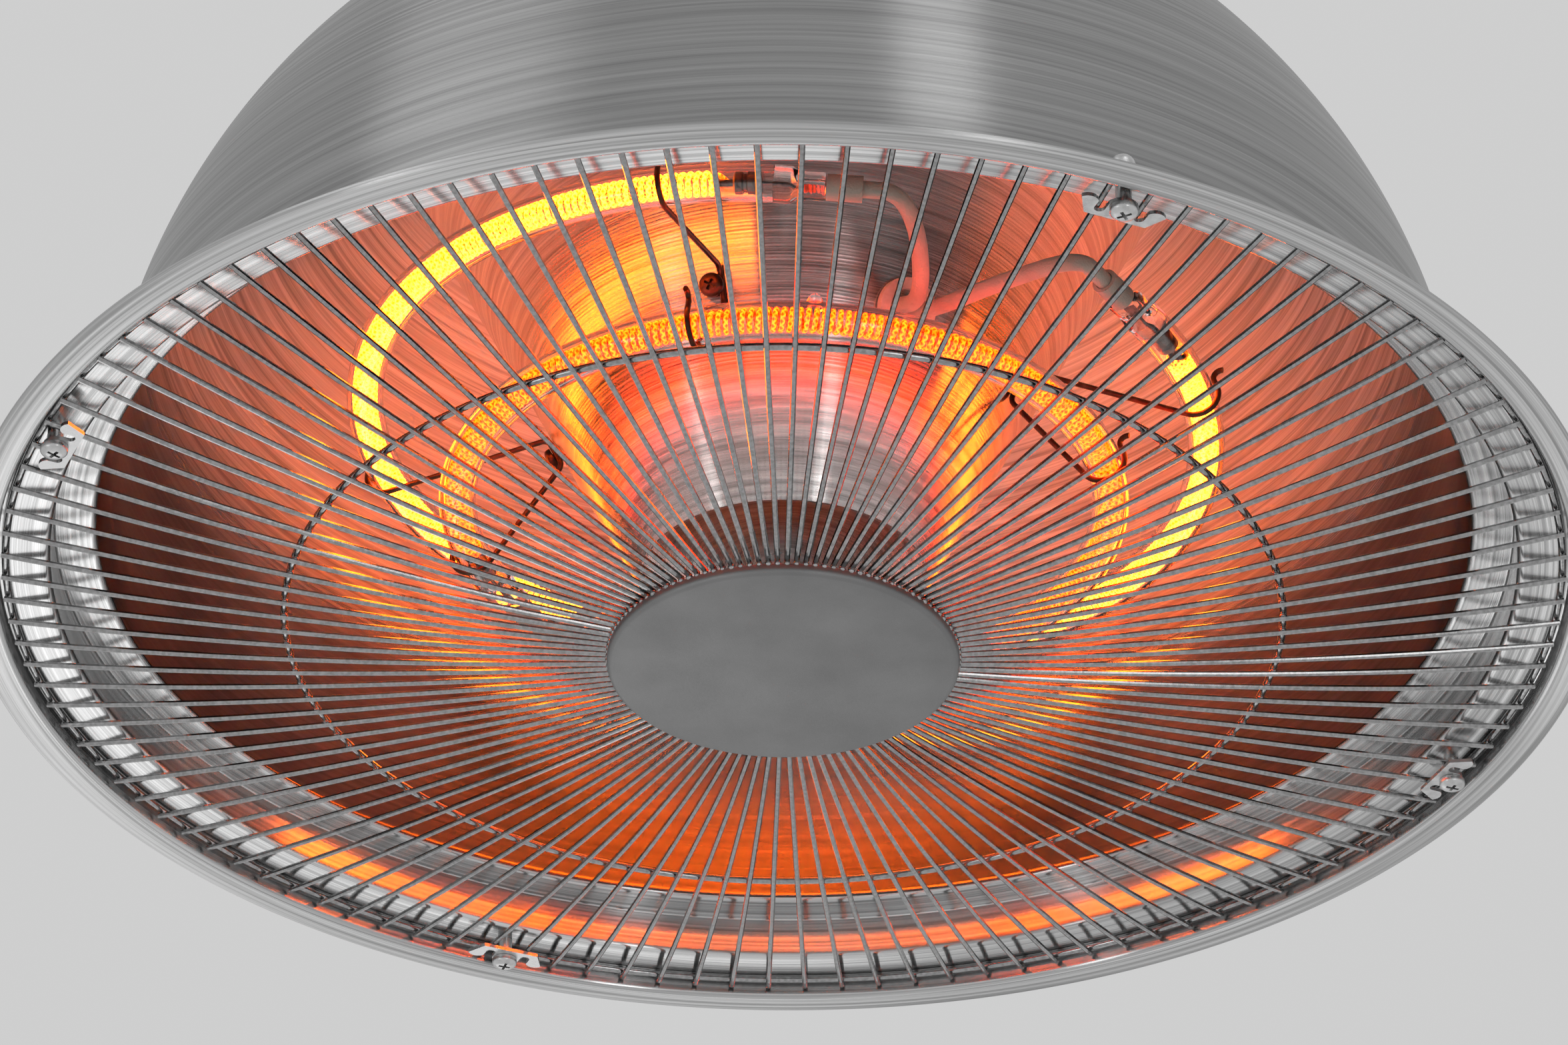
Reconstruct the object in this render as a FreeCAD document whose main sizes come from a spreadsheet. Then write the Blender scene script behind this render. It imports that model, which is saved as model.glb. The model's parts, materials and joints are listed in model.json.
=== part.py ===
import FreeCAD, Part
import math
import os
from types import SimpleNamespace

import Sketcher

Vector = FreeCAD.Vector
Rotation = FreeCAD.Rotation
Placement = FreeCAD.Placement

# A hanging party tent heater: a spun dome, two ring lamps round a reflector cone, a wire guard.
# Heights are taken from the underside of the rim, azimuths from the front (minus Y) towards plus X.
# Every piece is then lowered so that the hook bears on the hanging ring at the origin.

DIMENSIONS = {
    # Shade
    "rim_radius": 212.5,
    "flange_width": 8.8,
    "step_height": 5.8,
    "ledge_width": 12.7,
    "skirt_height": 12.2,
    "shoulder_width": 11.0,
    "dome_centre": 25.5,
    "sheet": 1.0,
    "sheet_bend": 0.6,
    "hem_radius": 1.0,
    # Reflector cone and the plate in its lower end
    "hub_radius": 37.6,
    "hub_level": 12.5,
    "cone_angle": 26.3,
    "cone_sheet": 0.8,
    "plate_level": 15.5,
    "plate_sheet": 1.5,
    "seat_gap": 0.2,
    "drill_reach": 12.0,
    # Guard
    "spoke_count": 120,
    "spoke_azimuth": 1.08,
    "spoke_wire": 1.5,
    "spoke_inner": 44.9,
    "spoke_margin": 1.3,
    "spoke_inner_level": -11.2,
    "spoke_outer_level": 2.8,
    "spoke_sag": 2.1,
    "weld_gap": 0.1,
    "ring_wire": 2.0,
    "outer_ring_margin": 2.3,
    "middle_ring_radius": 129.3,
    "disc_radius": 45.7,
    "disc_level": -14.9,
    "disc_sheet": 0.8,
    "disc_bend": 1.6,
    # Guard clips, their screws and cap nuts
    "clip_count": 4,
    "clip_azimuth": 23.58,
    "clip_margin": 5.7,
    "clip_sheet": 1.0,
    "clip_half_width": 11.0,
    "clip_depth": 5.2,
    "clip_notch": 2.7,
    "clip_ear_slant": 3.0,
    "clip_screw": 4.0,
    "clip_head": 7.0,
    "clip_head_height": 2.4,
    "cap_nut_flats": 7.0,
    "cap_nut_height": 8.0,
    "cap_nut_hex": 3.2,
    "cap_nut_crown": 6.3,
    "thread_end": 0.5,
    # Lamps
    "glass_diameter": 9.8,
    "glass_wall": 0.95,
    "outer_lamp_radius": 111.7,
    "outer_lamp_level": 57.8,
    "outer_lamp_tilt": 3.98,
    "outer_lamp_gap": 27.75,
    "outer_lamp_turns": 40,
    "inner_lamp_radius": 85.9,
    "inner_lamp_level": 34.7,
    "inner_lamp_gap": 207.75,
    "inner_lamp_turns": 28,
    "coil_mean": 5.0,
    "coil_strand": 1.7,
    "seal_end": 44.0,
    "seal_length": 9.0,
    "seal_thickness": 3.2,
    "seal_width": 9.4,
    "seal_taper": 2.4,
    "stub_length": 4.0,
    "end_gap": 0.2,
    "block_start": 60.0,
    "block_length": 7.0,
    "block_diameter": 5.8,
    "block_waist": 4.6,
    "stem_diameter": 1.4,
    "coil_start": 72.0,
    "tip_azimuth": 5.0,
    "tip_diameter": 5.0,
    "tip_height": 3.4,
    "sleeve_length": 9.0,
    "sleeve_diameter": 6.8,
    # Leads and the bushes that bring them into the cone
    "lead_diameter": 4.4,
    "lead_bend": 12.0,
    "lead_gap": 0.6,
    "lead_spacing": 5.4,
    "lead_before_bush": 14.0,
    "lead_past_bush": 16.0,
    "lead_gather_circle": 28.0,
    "lead_landing": 22.0,
    "bush_circle": 61.7,
    "bush_azimuth": 30.0,
    "bush_bore": 10.2,
    "bush_wall": 1.5,
    "bush_collar": 2.0,
    "bush_inside": 6.0,
    "wire_hole_circle": 19.0,
    "wire_hole_azimuth": 117.75,
    "wire_hole": 15.0,
    # Lamp clips and their screws
    "lamp_clip_count": 4,
    "lamp_clip_azimuth": -17.0,
    "lamp_clip_circle": 62.8,
    "lamp_clip_wire": 1.5,
    "lamp_clip_bend": 3.0,
    "lamp_clip_curl": 2.2,
    "lamp_clip_tail": 2.0,
    "lamp_clip_half_run": 5.0,
    "lamp_clip_grip_gap": 0.15,
    "lamp_screw": 3.0,
    "lamp_screw_head": 6.4,
    "lamp_screw_head_height": 2.2,
    "lamp_screw_tail": 4.6,
    "lamp_nut_flats": 5.5,
    "lamp_nut_height": 2.4,
    # Rod, nuts and washers
    "rod_diameter": 8.0,
    "rod_clearance": 0.2,
    "thread_gap": 0.05,
    "nut_flats": 13.0,
    "nut_height": 6.5,
    "washer_diameter": 16.0,
    "washer_sheet": 1.6,
    "rod_tail": 2.0,
    # Top cap with its terminal block
    "cap_radius": 35.0,
    "cap_height": 18.0,
    "cap_sheet": 1.2,
    "cap_bend": 5.0,
    "block_width": 24.0,
    "block_depth": 13.0,
    "block_height": 9.0,
    "terminal_screw": 3.4,
    "terminal_screw_head": 1.2,
    # Cable gland
    "gland_thread": 12.0,
    "gland_level": 8.6,
    "gland_thread_length": 8.0,
    "gland_flats": 14.0,
    "gland_collar": 4.0,
    "gland_nut_length": 11.0,
    "gland_bore": 7.0,
    "gland_body_bore": 7.6,
    "gland_lock_nut": 3.0,
    "gland_spigot_wall": 1.1,
    "gland_spigot_length": 4.4,
    "gland_nut_hex": 7.0,
    "gland_nut_mouth": 9.6,
    # Hanging eye and ring
    "eye_diameter": 18.0,
    "eye_height": 6.5,
    "eye_thread_depth": 5.5,
    "eye_rise": 9.0,
    "eye_tongue_radius": 8.0,
    "eye_tongue": 6.0,
    "hang_wire": 5.0,
    "hang_play": 0.05,
    "hang_bow": 18.0,
    "hang_corner": 6.0,
}


class Size:
    """A number together with the spreadsheet formula that gives it."""

    def __init__(self, value, formula):
        self.value = value
        self.formula = formula

    def join(self, sign, other, value):
        return Size(value, "(" + self.formula + " " + sign + " " + other.formula + ")")

    def __add__(self, other):
        other = as_size(other)
        return self.join("+", other, self.value + other.value)

    def __sub__(self, other):
        other = as_size(other)
        return self.join("-", other, self.value - other.value)

    def __mul__(self, other):
        other = as_size(other)
        return self.join("*", other, self.value * other.value)

    def __truediv__(self, other):
        other = as_size(other)
        return self.join("/", other, self.value / other.value)

    def __neg__(self):
        return as_size(0) - self


def as_size(number):
    return number if isinstance(number, Size) else Size(float(number), repr(float(number)))


def root(size):
    return Size(math.sqrt(size.value), "sqrt(" + size.formula + ")")


def sine(size):
    return Size(math.sin(math.radians(size.value)), "sin(" + size.formula + ")")


def cosine(size):
    return Size(math.cos(math.radians(size.value)), "cos(" + size.formula + ")")


def tangent(size):
    return Size(math.tan(math.radians(size.value)), "tan(" + size.formula + ")")


doc = FreeCAD.newDocument("PartyTentHeater")
sheet = doc.addObject("Spreadsheet::Sheet", "Dims")
for row, (name, number) in enumerate(DIMENSIONS.items(), start=1):
    sheet.set("A%d" % row, name)
    sheet.set("B%d" % row, str(number))
    sheet.setAlias("B%d" % row, name)
doc.recompute()
d = SimpleNamespace(**{name: Size(float(sheet.get(name)), "Dims." + name) for name in DIMENSIONS})

ZERO = as_size(0)
NODES = {}


# Helpers for the document objects

def keep(label, piece):
    piece.Label = label
    NODES[label] = piece
    return piece


def new_sketch(body, name, role):
    sketch = body.newObject("Sketcher::SketchObject", name)
    plane = [feature for feature in body.Origin.OriginFeatures if feature.Role == role][0]
    sketch.AttachmentSupport = [(plane, "")]
    sketch.MapMode = "FlatFace"
    return sketch


def bound_constraint(sketch, kind, size, *where):
    index = sketch.addConstraint(Sketcher.Constraint(kind, *where, size.value))
    sketch.setExpression("Constraints[%d]" % index, size.formula)


def fix_point(sketch, curve, end, x, y):
    if x.formula == ZERO.formula:
        sketch.addConstraint(Sketcher.Constraint("PointOnObject", curve, end, -2))
    else:
        bound_constraint(sketch, "DistanceX", x, -1, 1, curve, end)
    if y.formula == ZERO.formula:
        sketch.addConstraint(Sketcher.Constraint("PointOnObject", curve, end, -1))
    else:
        bound_constraint(sketch, "DistanceY", y, -1, 1, curve, end)


def add_outline(sketch, corners):
    """Closed outline. A corner is (x, y) or (x, y, bend): the side after it is then an arc of that
    radius, counter-clockwise when the bend is positive and clockwise when it is negative."""
    corners = [tuple(as_size(part) for part in corner) for corner in corners]
    ends = []
    for here, after in zip(corners, corners[1:] + corners[:1]):
        start = Vector(here[0].value, here[1].value, 0)
        finish = Vector(after[0].value, after[1].value, 0)
        if len(here) == 2:
            ends.append((sketch.addGeometry(Part.LineSegment(start, finish)), 1, 2))
            continue
        bend = here[2].value
        chord = finish - start
        left = Vector(-chord.y, chord.x, 0).normalize()
        away = math.sqrt(max(bend * bend - chord.Length ** 2 / 4, 0))
        centre = (start + finish) / 2 + left * math.copysign(away, bend)
        first, last = (start, finish) if bend > 0 else (finish, start)
        angles = [math.atan2(point.y - centre.y, point.x - centre.x) for point in (first, last)]
        circle = Part.Circle(centre, Vector(0, 0, 1), abs(bend))
        curve = sketch.addGeometry(Part.ArcOfCircle(circle, *angles))
        ends.append((curve, 1, 2) if bend > 0 else (curve, 2, 1))
    for (curve, _, end), (following, begin, _) in zip(ends, ends[1:] + ends[:1]):
        sketch.addConstraint(Sketcher.Constraint("Coincident", curve, end, following, begin))
    for (curve, begin, _), corner in zip(ends, corners):
        fix_point(sketch, curve, begin, corner[0], corner[1])
        if len(corner) == 3:
            bound_constraint(sketch, "Radius", corner[2] if corner[2].value > 0 else -corner[2], curve)


def add_circle(sketch, x, y, radius):
    circle = Part.Circle(Vector(x.value, y.value, 0), Vector(0, 0, 1), radius.value)
    curve = sketch.addGeometry(circle)
    fix_point(sketch, curve, 3, x, y)
    bound_constraint(sketch, "Radius", radius, curve)


def spun(name, corners):
    """A body turned about the vertical axis from a half outline of (radius, height) corners."""
    body = doc.addObject("PartDesign::Body", name)
    sketch = new_sketch(body, name + "_profile", "XZ_Plane")
    add_outline(sketch, corners)
    turned = body.newObject("PartDesign::Revolution", name + "_turned")
    turned.Profile = sketch
    turned.ReferenceAxis = (sketch, ["V_Axis"])
    turned.Angle = 360
    doc.recompute()
    return body


def upward_holes(body, name, circles):
    """Round holes through everything above the base plane, each (x, y, radius)."""
    before = body.Shape.Volume
    sketch = new_sketch(body, name + "_circles", "XY_Plane")
    for circle in circles:
        add_circle(sketch, *circle)
    pocket = body.newObject("PartDesign::Pocket", name)
    pocket.Profile = sketch
    pocket.Type = "ThroughAll"
    pocket.Reversed = True
    doc.recompute()
    if body.Shape.Volume >= before:
        raise RuntimeError(name + " removed nothing")


def bound(kind, name, place, **sizes):
    piece = doc.addObject(kind, name)
    for key, size in sizes.items():
        piece.setExpression(key, as_size(size).formula)
    piece.Placement = place
    return piece


def cylinder(name, radius, length, place=Placement()):
    return bound("Part::Cylinder", name, place, Radius=radius, Height=length)


def taper(name, low, high, length, place=Placement()):
    return bound("Part::Cone", name, place, Radius1=low, Radius2=high, Height=length)


def hexagon(name, flats, length, place=Placement()):
    prism = bound("Part::Prism", name, place, Circumradius=flats / cosine(as_size(30)) / 2, Height=length)
    prism.Polygon = 6
    return prism


def box(name, length, width, height, place=Placement()):
    return bound("Part::Box", name, place, Length=length, Width=width, Height=height)


def cut(name, base, tool):
    piece = doc.addObject("Part::Cut", name)
    piece.Base = base
    piece.Tool = tool
    return piece


def fuse(name, pieces):
    piece = doc.addObject("Part::MultiFuse", name)
    piece.Shapes = pieces
    return piece


def compound(name, pieces):
    piece = doc.addObject("Part::Compound", name)
    piece.Links = pieces
    return piece


def solid(name, shape):
    piece = doc.addObject("Part::Feature", name)
    piece.Shape = shape
    return piece


def copies(name, master, places):
    """Separate copies of one finished piece, together in one object."""
    doc.recompute()
    shapes = []
    for place in places:
        shape = master.Shape.copy()
        shape.Placement = place.multiply(master.Placement)
        shapes.append(shape)
    return solid(name, Part.makeCompound(shapes))


# Helpers for places

def at(x, y, z):
    return Placement(Vector(x, y, z), Rotation())


def up(height):
    return at(0, 0, as_size(height).value)


def polar(radius, azimuth, height):
    angle = math.radians(azimuth)
    return Vector(radius * math.sin(angle), -radius * math.cos(angle), height)


def facing(azimuth):
    """Turns a piece so that its plus X points outwards at this azimuth."""
    return Rotation(Vector(0, 0, 1), azimuth - 90)


def outward(radius, azimuth, height):
    return Placement(polar(radius, azimuth, height), facing(azimuth))


def rounded_run(points, bend):
    """Straight runs through points, with a tangent arc at each inner point. A bend takes at most this
    share of a run: nearly half where the other end bends too, more where the run ends there."""
    between_bends = 0.49
    at_an_end = 0.93
    edges = []
    last = points[0]
    for before, corner, after in zip(points, points[1:], points[2:]):
        came = (corner - before).normalize()
        goes = (after - corner).normalize()
        half_turn = came.getAngle(goes) / 2
        shares = [at_an_end if point in (points[0], points[-1]) else between_bends for point in (before, after)]
        room = min((corner - before).Length * shares[0], (after - corner).Length * shares[1])
        radius = min(bend, room / math.tan(half_turn))
        trim = radius * math.tan(half_turn)
        start = corner - came * trim
        finish = corner + goes * trim
        inner = (goes - came).normalize()
        middle = corner + inner * (radius / math.cos(half_turn) - radius)
        edges.append(Part.LineSegment(last, start).toShape())
        edges.append(Part.Arc(start, middle, finish).toShape())
        last = finish
    edges.append(Part.LineSegment(last, points[-1]).toShape())
    return edges


def tube_along(edges, diameter):
    """A solid round wire along joined edges."""
    path = Part.Wire(edges)
    start = edges[0].valueAt(edges[0].FirstParameter)
    heading = edges[0].tangentAt(edges[0].FirstParameter)
    profile = Part.Wire([Part.Circle(start, heading, diameter / 2).toShape()])
    return path.makePipeShell([profile], True, False)


# Shade

flange_inner = d.rim_radius - d.flange_width
ledge_top = d.step_height + d.sheet
skirt_radius = flange_inner - d.ledge_width
skirt_inside = skirt_radius - d.sheet
shoulder_level = d.step_height + d.skirt_height
shoulder_top = shoulder_level + d.sheet
dome_radius = skirt_radius - d.shoulder_width
dome_inside = dome_radius - d.sheet
rod_hole = d.rod_diameter / 2 + d.rod_clearance
hem_centre = d.rim_radius - d.hem_radius
hem_drop = d.sheet - d.hem_radius
hem_inner = hem_centre - root(d.hem_radius * d.hem_radius - hem_drop * hem_drop)


def dome_height(radius, sphere):
    return d.dome_centre + root(sphere * sphere - radius * radius)


tight = d.sheet_bend
wide = d.sheet_bend + d.sheet
wall_outside = flange_inner + d.sheet
foot_rise = shoulder_top + tight - d.dome_centre
foot_reach = dome_radius + tight
foot_centre = root(foot_reach * foot_reach - foot_rise * foot_rise)


def dome_foot(sphere):
    """Where a face of the dome runs into the bend at its foot."""
    share = sphere / foot_reach
    return foot_centre * share, d.dome_centre + foot_rise * share


shade = spun("shade", [
    (hem_centre, 0, d.hem_radius),
    (d.rim_radius, d.hem_radius, d.hem_radius),
    (hem_centre, d.hem_radius * 2, d.hem_radius),
    (hem_inner, d.sheet),
    (wall_outside + tight, d.sheet, -tight),
    (wall_outside, d.sheet + tight),
    (wall_outside, ledge_top - wide, wide),
    (wall_outside - wide, ledge_top),
    (skirt_radius + tight, ledge_top, -tight),
    (skirt_radius, ledge_top + tight),
    (skirt_radius, shoulder_top - wide, wide),
    (skirt_radius - wide, shoulder_top),
    (foot_centre, shoulder_top, -tight),
    (*dome_foot(dome_radius), dome_radius),
    (rod_hole, dome_height(rod_hole, dome_radius)),
    (rod_hole, dome_height(rod_hole, dome_inside), -dome_inside),
    (*dome_foot(dome_inside), wide),
    (foot_centre, shoulder_level),
    (skirt_inside - tight, shoulder_level, -tight),
    (skirt_inside, shoulder_level - tight),
    (skirt_inside, d.step_height + wide, wide),
    (skirt_inside + wide, d.step_height),
    (flange_inner - tight, d.step_height, -tight),
    (flange_inner, d.step_height - tight),
    (flange_inner, wide, wide),
    (flange_inner + wide, 0),
])
clip_count = int(d.clip_count.value)
clip_circle = flange_inner - d.clip_margin
clip_hole = d.clip_screw / 2 + d.rod_clearance
ledge_holes = []
for index in range(clip_count):
    turn = d.clip_azimuth + 360.0 * index / clip_count
    ledge_holes.append((clip_circle * sine(turn), -(clip_circle * cosine(turn)), clip_hole))
wire_hole_x = d.wire_hole_circle * sine(d.wire_hole_azimuth)
wire_hole_y = -(d.wire_hole_circle * cosine(d.wire_hole_azimuth))
upward_holes(shade, "shade_holes", ledge_holes + [(wire_hole_x, wire_hole_y, d.wire_hole / 2)])
keep("dome_shade", shade)

# Reflector cone: its top edge seats just under the dome

slope = tangent(d.cone_angle)
seat_radius = dome_inside - d.seat_gap
hub_rise = d.hub_level - d.dome_centre
lean = d.hub_radius * slope + hub_rise
spread = slope * slope + 1
short = d.hub_radius * d.hub_radius + hub_rise * hub_rise - seat_radius * seat_radius
cone_rise = (root(lean * lean - spread * short) - lean) / spread
cone_wall = d.cone_sheet / cosine(d.cone_angle)
cone_top = d.hub_level + cone_rise


def cone_radius(height):
    return d.hub_radius + (height - d.hub_level) * slope


def on_cone(radius, azimuth):
    """A place on the cone's outer face: plus X leaves the face, plus Z runs up the slope."""
    angle = math.radians(d.cone_angle.value)
    height = d.hub_level.value + (radius - d.hub_radius.value) / slope.value
    leaves = polar(math.cos(angle), azimuth, -math.sin(angle))
    runs_up = polar(math.sin(angle), azimuth, math.cos(angle))
    return Placement(polar(radius, azimuth, height), Rotation(leaves, Vector(), runs_up, "XZY"))


AXIS_TO_X = Rotation(Vector(0, 1, 0), 90)


def through_cone(name, radius, circle, azimuth):
    start = Placement(Vector(-d.drill_reach.value, 0, 0), AXIS_TO_X)
    return cylinder(name, radius, d.drill_reach * 2, on_cone(circle.value, azimuth).multiply(start))


cone_blank = spun("cone_blank", [
    (d.hub_radius, d.hub_level),
    (cone_radius(cone_top), cone_top),
    (cone_radius(cone_top) - cone_wall, cone_top),
    (d.hub_radius - cone_wall, d.hub_level),
])
bush_outer = d.bush_bore / 2 + d.bush_wall
bush_azimuths = [d.bush_azimuth.value, d.bush_azimuth.value + 180]
lamp_clip_count = int(d.lamp_clip_count.value)
lamp_clip_azimuths = [d.lamp_clip_azimuth.value + 360.0 * index / lamp_clip_count
                      for index in range(lamp_clip_count)]
cone_holes = [through_cone("bush_hole", bush_outer + d.seat_gap, d.bush_circle, azimuth)
              for azimuth in bush_azimuths]
cone_holes += [through_cone("lamp_screw_hole", d.lamp_screw / 2 + d.rod_clearance, d.lamp_clip_circle, azimuth)
               for azimuth in lamp_clip_azimuths]
keep("reflector_cone", cut("reflector_cone", cone_blank, compound("cone_holes", cone_holes)))

plate_top = d.plate_level + d.plate_sheet
plate_play = cone_wall + d.seat_gap
keep("hub_plate", spun("hub_plate", [
    (rod_hole, d.plate_level),
    (cone_radius(d.plate_level) - plate_play, d.plate_level),
    (cone_radius(plate_top) - plate_play, plate_top),
    (rod_hole, plate_top),
]))

# Guard: spokes are shallow arcs, welded to the rings above them and to the disc's wall

spoke_count = int(d.spoke_count.value)
inner_end = Vector(d.spoke_inner.value, 0, d.spoke_inner_level.value)
outer_end = Vector((flange_inner - d.spoke_margin).value, 0, d.spoke_outer_level.value)
chord = outer_end - inner_end
below = Vector(chord.z, 0, -chord.x).normalize()
sag = d.spoke_sag.value
spoke_bend = (chord.Length ** 2 / 4 + sag * sag) / (2 * sag)
spoke_centre = (inner_end + outer_end) / 2 - below * (spoke_bend - sag)


def spoke_level(radius):
    """Height of a spoke's centre line."""
    return spoke_centre.z - math.sqrt(spoke_bend ** 2 - (radius - spoke_centre.x) ** 2)


start_radius = (inner_end - spoke_centre).normalize()
spoke_heading = Vector(-start_radius.z, 0, start_radius.x)
spoke_face = Part.Face(Part.Wire([Part.Circle(inner_end, spoke_heading, d.spoke_wire.value / 2).toShape()]))
spoke_turn = 2 * math.degrees(math.asin(chord.Length / 2 / spoke_bend))
spoke = solid("spoke", spoke_face.revolve(spoke_centre, Vector(0, -1, 0), spoke_turn))
spoke_places = [Placement(Vector(), facing(d.spoke_azimuth.value + 360.0 * index / spoke_count))
                for index in range(spoke_count)]
keep("guard_spokes", copies("guard_spokes", spoke, spoke_places))

ring_lift = (d.spoke_wire + d.ring_wire) / 2 + d.weld_gap
outer_ring_radius = flange_inner - d.outer_ring_margin
for name, radius in (("guard_outer_ring", outer_ring_radius), ("guard_middle_ring", d.middle_ring_radius)):
    level = spoke_level(radius.value) + ring_lift.value
    keep(name, bound("Part::Torus", name, up(level), Radius1=radius, Radius2=d.ring_wire / 2))

disc_wall_top = d.spoke_inner_level - d.spoke_wire / 2 - d.weld_gap
disc_inside = d.disc_radius - d.disc_sheet
disc_floor = d.disc_level + d.disc_sheet
keep("guard_disc", spun("guard_disc", [
    (0, d.disc_level),
    (d.disc_radius - d.disc_bend, d.disc_level, d.disc_bend),
    (d.disc_radius, d.disc_level + d.disc_bend),
    (d.disc_radius, disc_wall_top),
    (disc_inside, disc_wall_top),
    (disc_inside, d.disc_level + d.disc_bend, d.disc_sheet - d.disc_bend),
    (d.disc_radius - d.disc_bend, disc_floor),
    (0, disc_floor),
]))

# Guard clips: a notched plate under two neighbouring spokes, seen with plus X outwards

EAR_ROUNDNESS = 0.6
NOTCH_ROUNDNESS = 1.02
LOBE_ROUNDNESS = 1.05
spoke_offset = clip_circle * sine(as_size(180) / d.spoke_count)
notch_half = d.clip_notch / 2
notch_floor = -(d.clip_depth / 2)
ear_foot = d.clip_half_width - d.clip_ear_slant
ear_inner = spoke_offset + notch_half
ear_tip = d.clip_half_width - ear_inner
lobe_flank = spoke_offset - notch_half
clip_top = spoke_level((clip_circle - d.clip_depth).value) - d.spoke_wire.value / 2 - d.weld_gap.value
clip_under = clip_top - d.clip_sheet.value
clip_places = [outward(clip_circle.value, d.clip_azimuth.value + 360.0 * index / clip_count, 0)
               for index in range(clip_count)]
ear_bend = -(ear_tip * EAR_ROUNDNESS)
notch_bend = notch_half * NOTCH_ROUNDNESS
lobe_bend = -(lobe_flank * LOBE_ROUNDNESS)
clip_outline = [
    (-d.clip_depth, ear_foot),
    (0, d.clip_half_width, ear_bend),
    (0, ear_inner),
    (notch_floor, ear_inner, notch_bend),
    (notch_floor, lobe_flank),
    (0, lobe_flank, lobe_bend),
    (0, -lobe_flank),
    (notch_floor, -lobe_flank, notch_bend),
    (notch_floor, -ear_inner),
    (0, -ear_inner, ear_bend),
    (0, -d.clip_half_width),
    (-d.clip_depth, -ear_foot),
]
for index, place in enumerate(clip_places, start=1):
    name = "guard_clip_%d" % index
    clip = doc.addObject("PartDesign::Body", name)
    sketch = new_sketch(clip, name + "_outline", "XY_Plane")
    add_outline(sketch, clip_outline)
    add_circle(sketch, ZERO, ZERO, clip_hole)
    plate = clip.newObject("PartDesign::Pad", name + "_plate")
    plate.Profile = sketch
    plate.setExpression("Length", d.clip_sheet.formula)
    clip.Placement = place.multiply(up(clip_under))
    keep(name, clip)


def screw(name, shank, head, head_height, length):
    """A pan-headed screw along Z, its head below the origin."""
    crown_share = 0.3
    brim = head_height / 2
    pieces = [
        cylinder(name + "_shank", shank / 2, length),
        cylinder(name + "_brim", head / 2, brim, up(-brim)),
        taper(name + "_crown", head * crown_share, head / 2, head_height - brim, up(-head_height)),
    ]
    return fuse(name, pieces)


cap_nut_depth = d.cap_nut_height - d.clip_screw / 2
clip_screw_length = ledge_top + cap_nut_depth - d.thread_end - clip_under
clip_screw = screw("clip_screw", d.clip_screw, d.clip_head, d.clip_head_height, clip_screw_length)
keep("guard_clip_screws",
     copies("guard_clip_screws", clip_screw, [place.multiply(up(clip_under)) for place in clip_places]))

crown_radius = d.cap_nut_crown / 2
crown_level = d.cap_nut_height - crown_radius
cap_nut = cut("cap_nut", fuse("cap_nut_blank", [
    hexagon("cap_nut_hex", d.cap_nut_flats, d.cap_nut_hex),
    cylinder("cap_nut_neck", crown_radius, crown_level),
    bound("Part::Sphere", "cap_nut_crown", up(crown_level), Radius=crown_radius),
]), cylinder("cap_nut_bore", d.clip_screw / 2 + d.thread_gap, cap_nut_depth))
keep("guard_cap_nuts",
     copies("guard_cap_nuts", cap_nut, [place.multiply(up(ledge_top)) for place in clip_places]))

# Lamps: each lies in its own plane with the gap between its ends towards plus X

glass_radius = d.glass_diameter / 2
glass_start = d.seal_end + d.seal_length + d.stub_length
DEGREES = 180 / math.pi


def lamp_frame(lamp):
    tilt = Placement(Vector(0, 0, lamp.level.value), Rotation(Vector(0, 1, 0), lamp.tilt.value))
    return tilt.multiply(Placement(Vector(), facing(lamp.gap.value)))


def along_lamp(lamp, distance, side):
    """A place on the lamp's circle, its plus X along the tube towards the gap."""
    angle = side * distance / lamp.radius.value
    heading = math.degrees(math.atan2(-side * math.cos(angle), side * math.sin(angle)))
    spot = Vector(lamp.radius.value * math.cos(angle), lamp.radius.value * math.sin(angle), 0)
    return Placement(spot, Rotation(Vector(0, 0, 1), heading))


def lamp_tube(lamp):
    body = doc.addObject("PartDesign::Body", lamp.name + "_tube")
    sketch = new_sketch(body, lamp.name + "_tube_section", "XZ_Plane")
    add_circle(sketch, lamp.radius, ZERO, glass_radius)
    add_circle(sketch, lamp.radius, ZERO, glass_radius - d.glass_wall)
    start = (glass_start + d.end_gap) * DEGREES / lamp.radius
    turned = body.newObject("PartDesign::Revolution", lamp.name + "_tube_bent")
    turned.Profile = sketch
    turned.ReferenceAxis = (sketch, ["V_Axis"])
    turned.setExpression("Angle", (as_size(360) - start * 2).formula)
    body.Placement = Placement(Vector(), Rotation(Vector(0, 0, 1), start.value))
    if lamp.tip is None:
        return body
    turn = Rotation(Vector(0, 0, 1), lamp.tip.value - lamp.gap.value)
    above = (glass_radius - d.glass_wall + d.weld_gap).value
    tip_place = Placement(turn.multVec(Vector(lamp.radius.value, 0, above)), turn)
    nib = taper(lamp.name + "_tip", d.tip_diameter / 2, d.tip_diameter / 4, d.tip_height, tip_place)
    return fuse(lamp.name + "_tube_tipped", [body, nib])


def pinch_section(distance, corner_y, corner_z, edge_y, face_z):
    """A closed section across X through four corners, bulging to the edges and the faces."""
    around = [(corner_y, corner_z), (0, face_z), (-corner_y, corner_z), (-edge_y, 0),
              (-corner_y, -corner_z), (0, -face_z), (corner_y, -corner_z), (edge_y, 0)]
    spots = [Vector(distance, y, z) for y, z in around]
    edges = []
    for index in range(0, len(spots), 2):
        start, middle, finish = spots[index], spots[index + 1], spots[(index + 2) % len(spots)]
        straight = abs(middle.z - start.z) < 1e-9
        side = Part.LineSegment(start, finish) if straight else Part.Arc(start, middle, finish)
        edges.append(side.toShape())
    return Part.Wire(edges)


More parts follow.
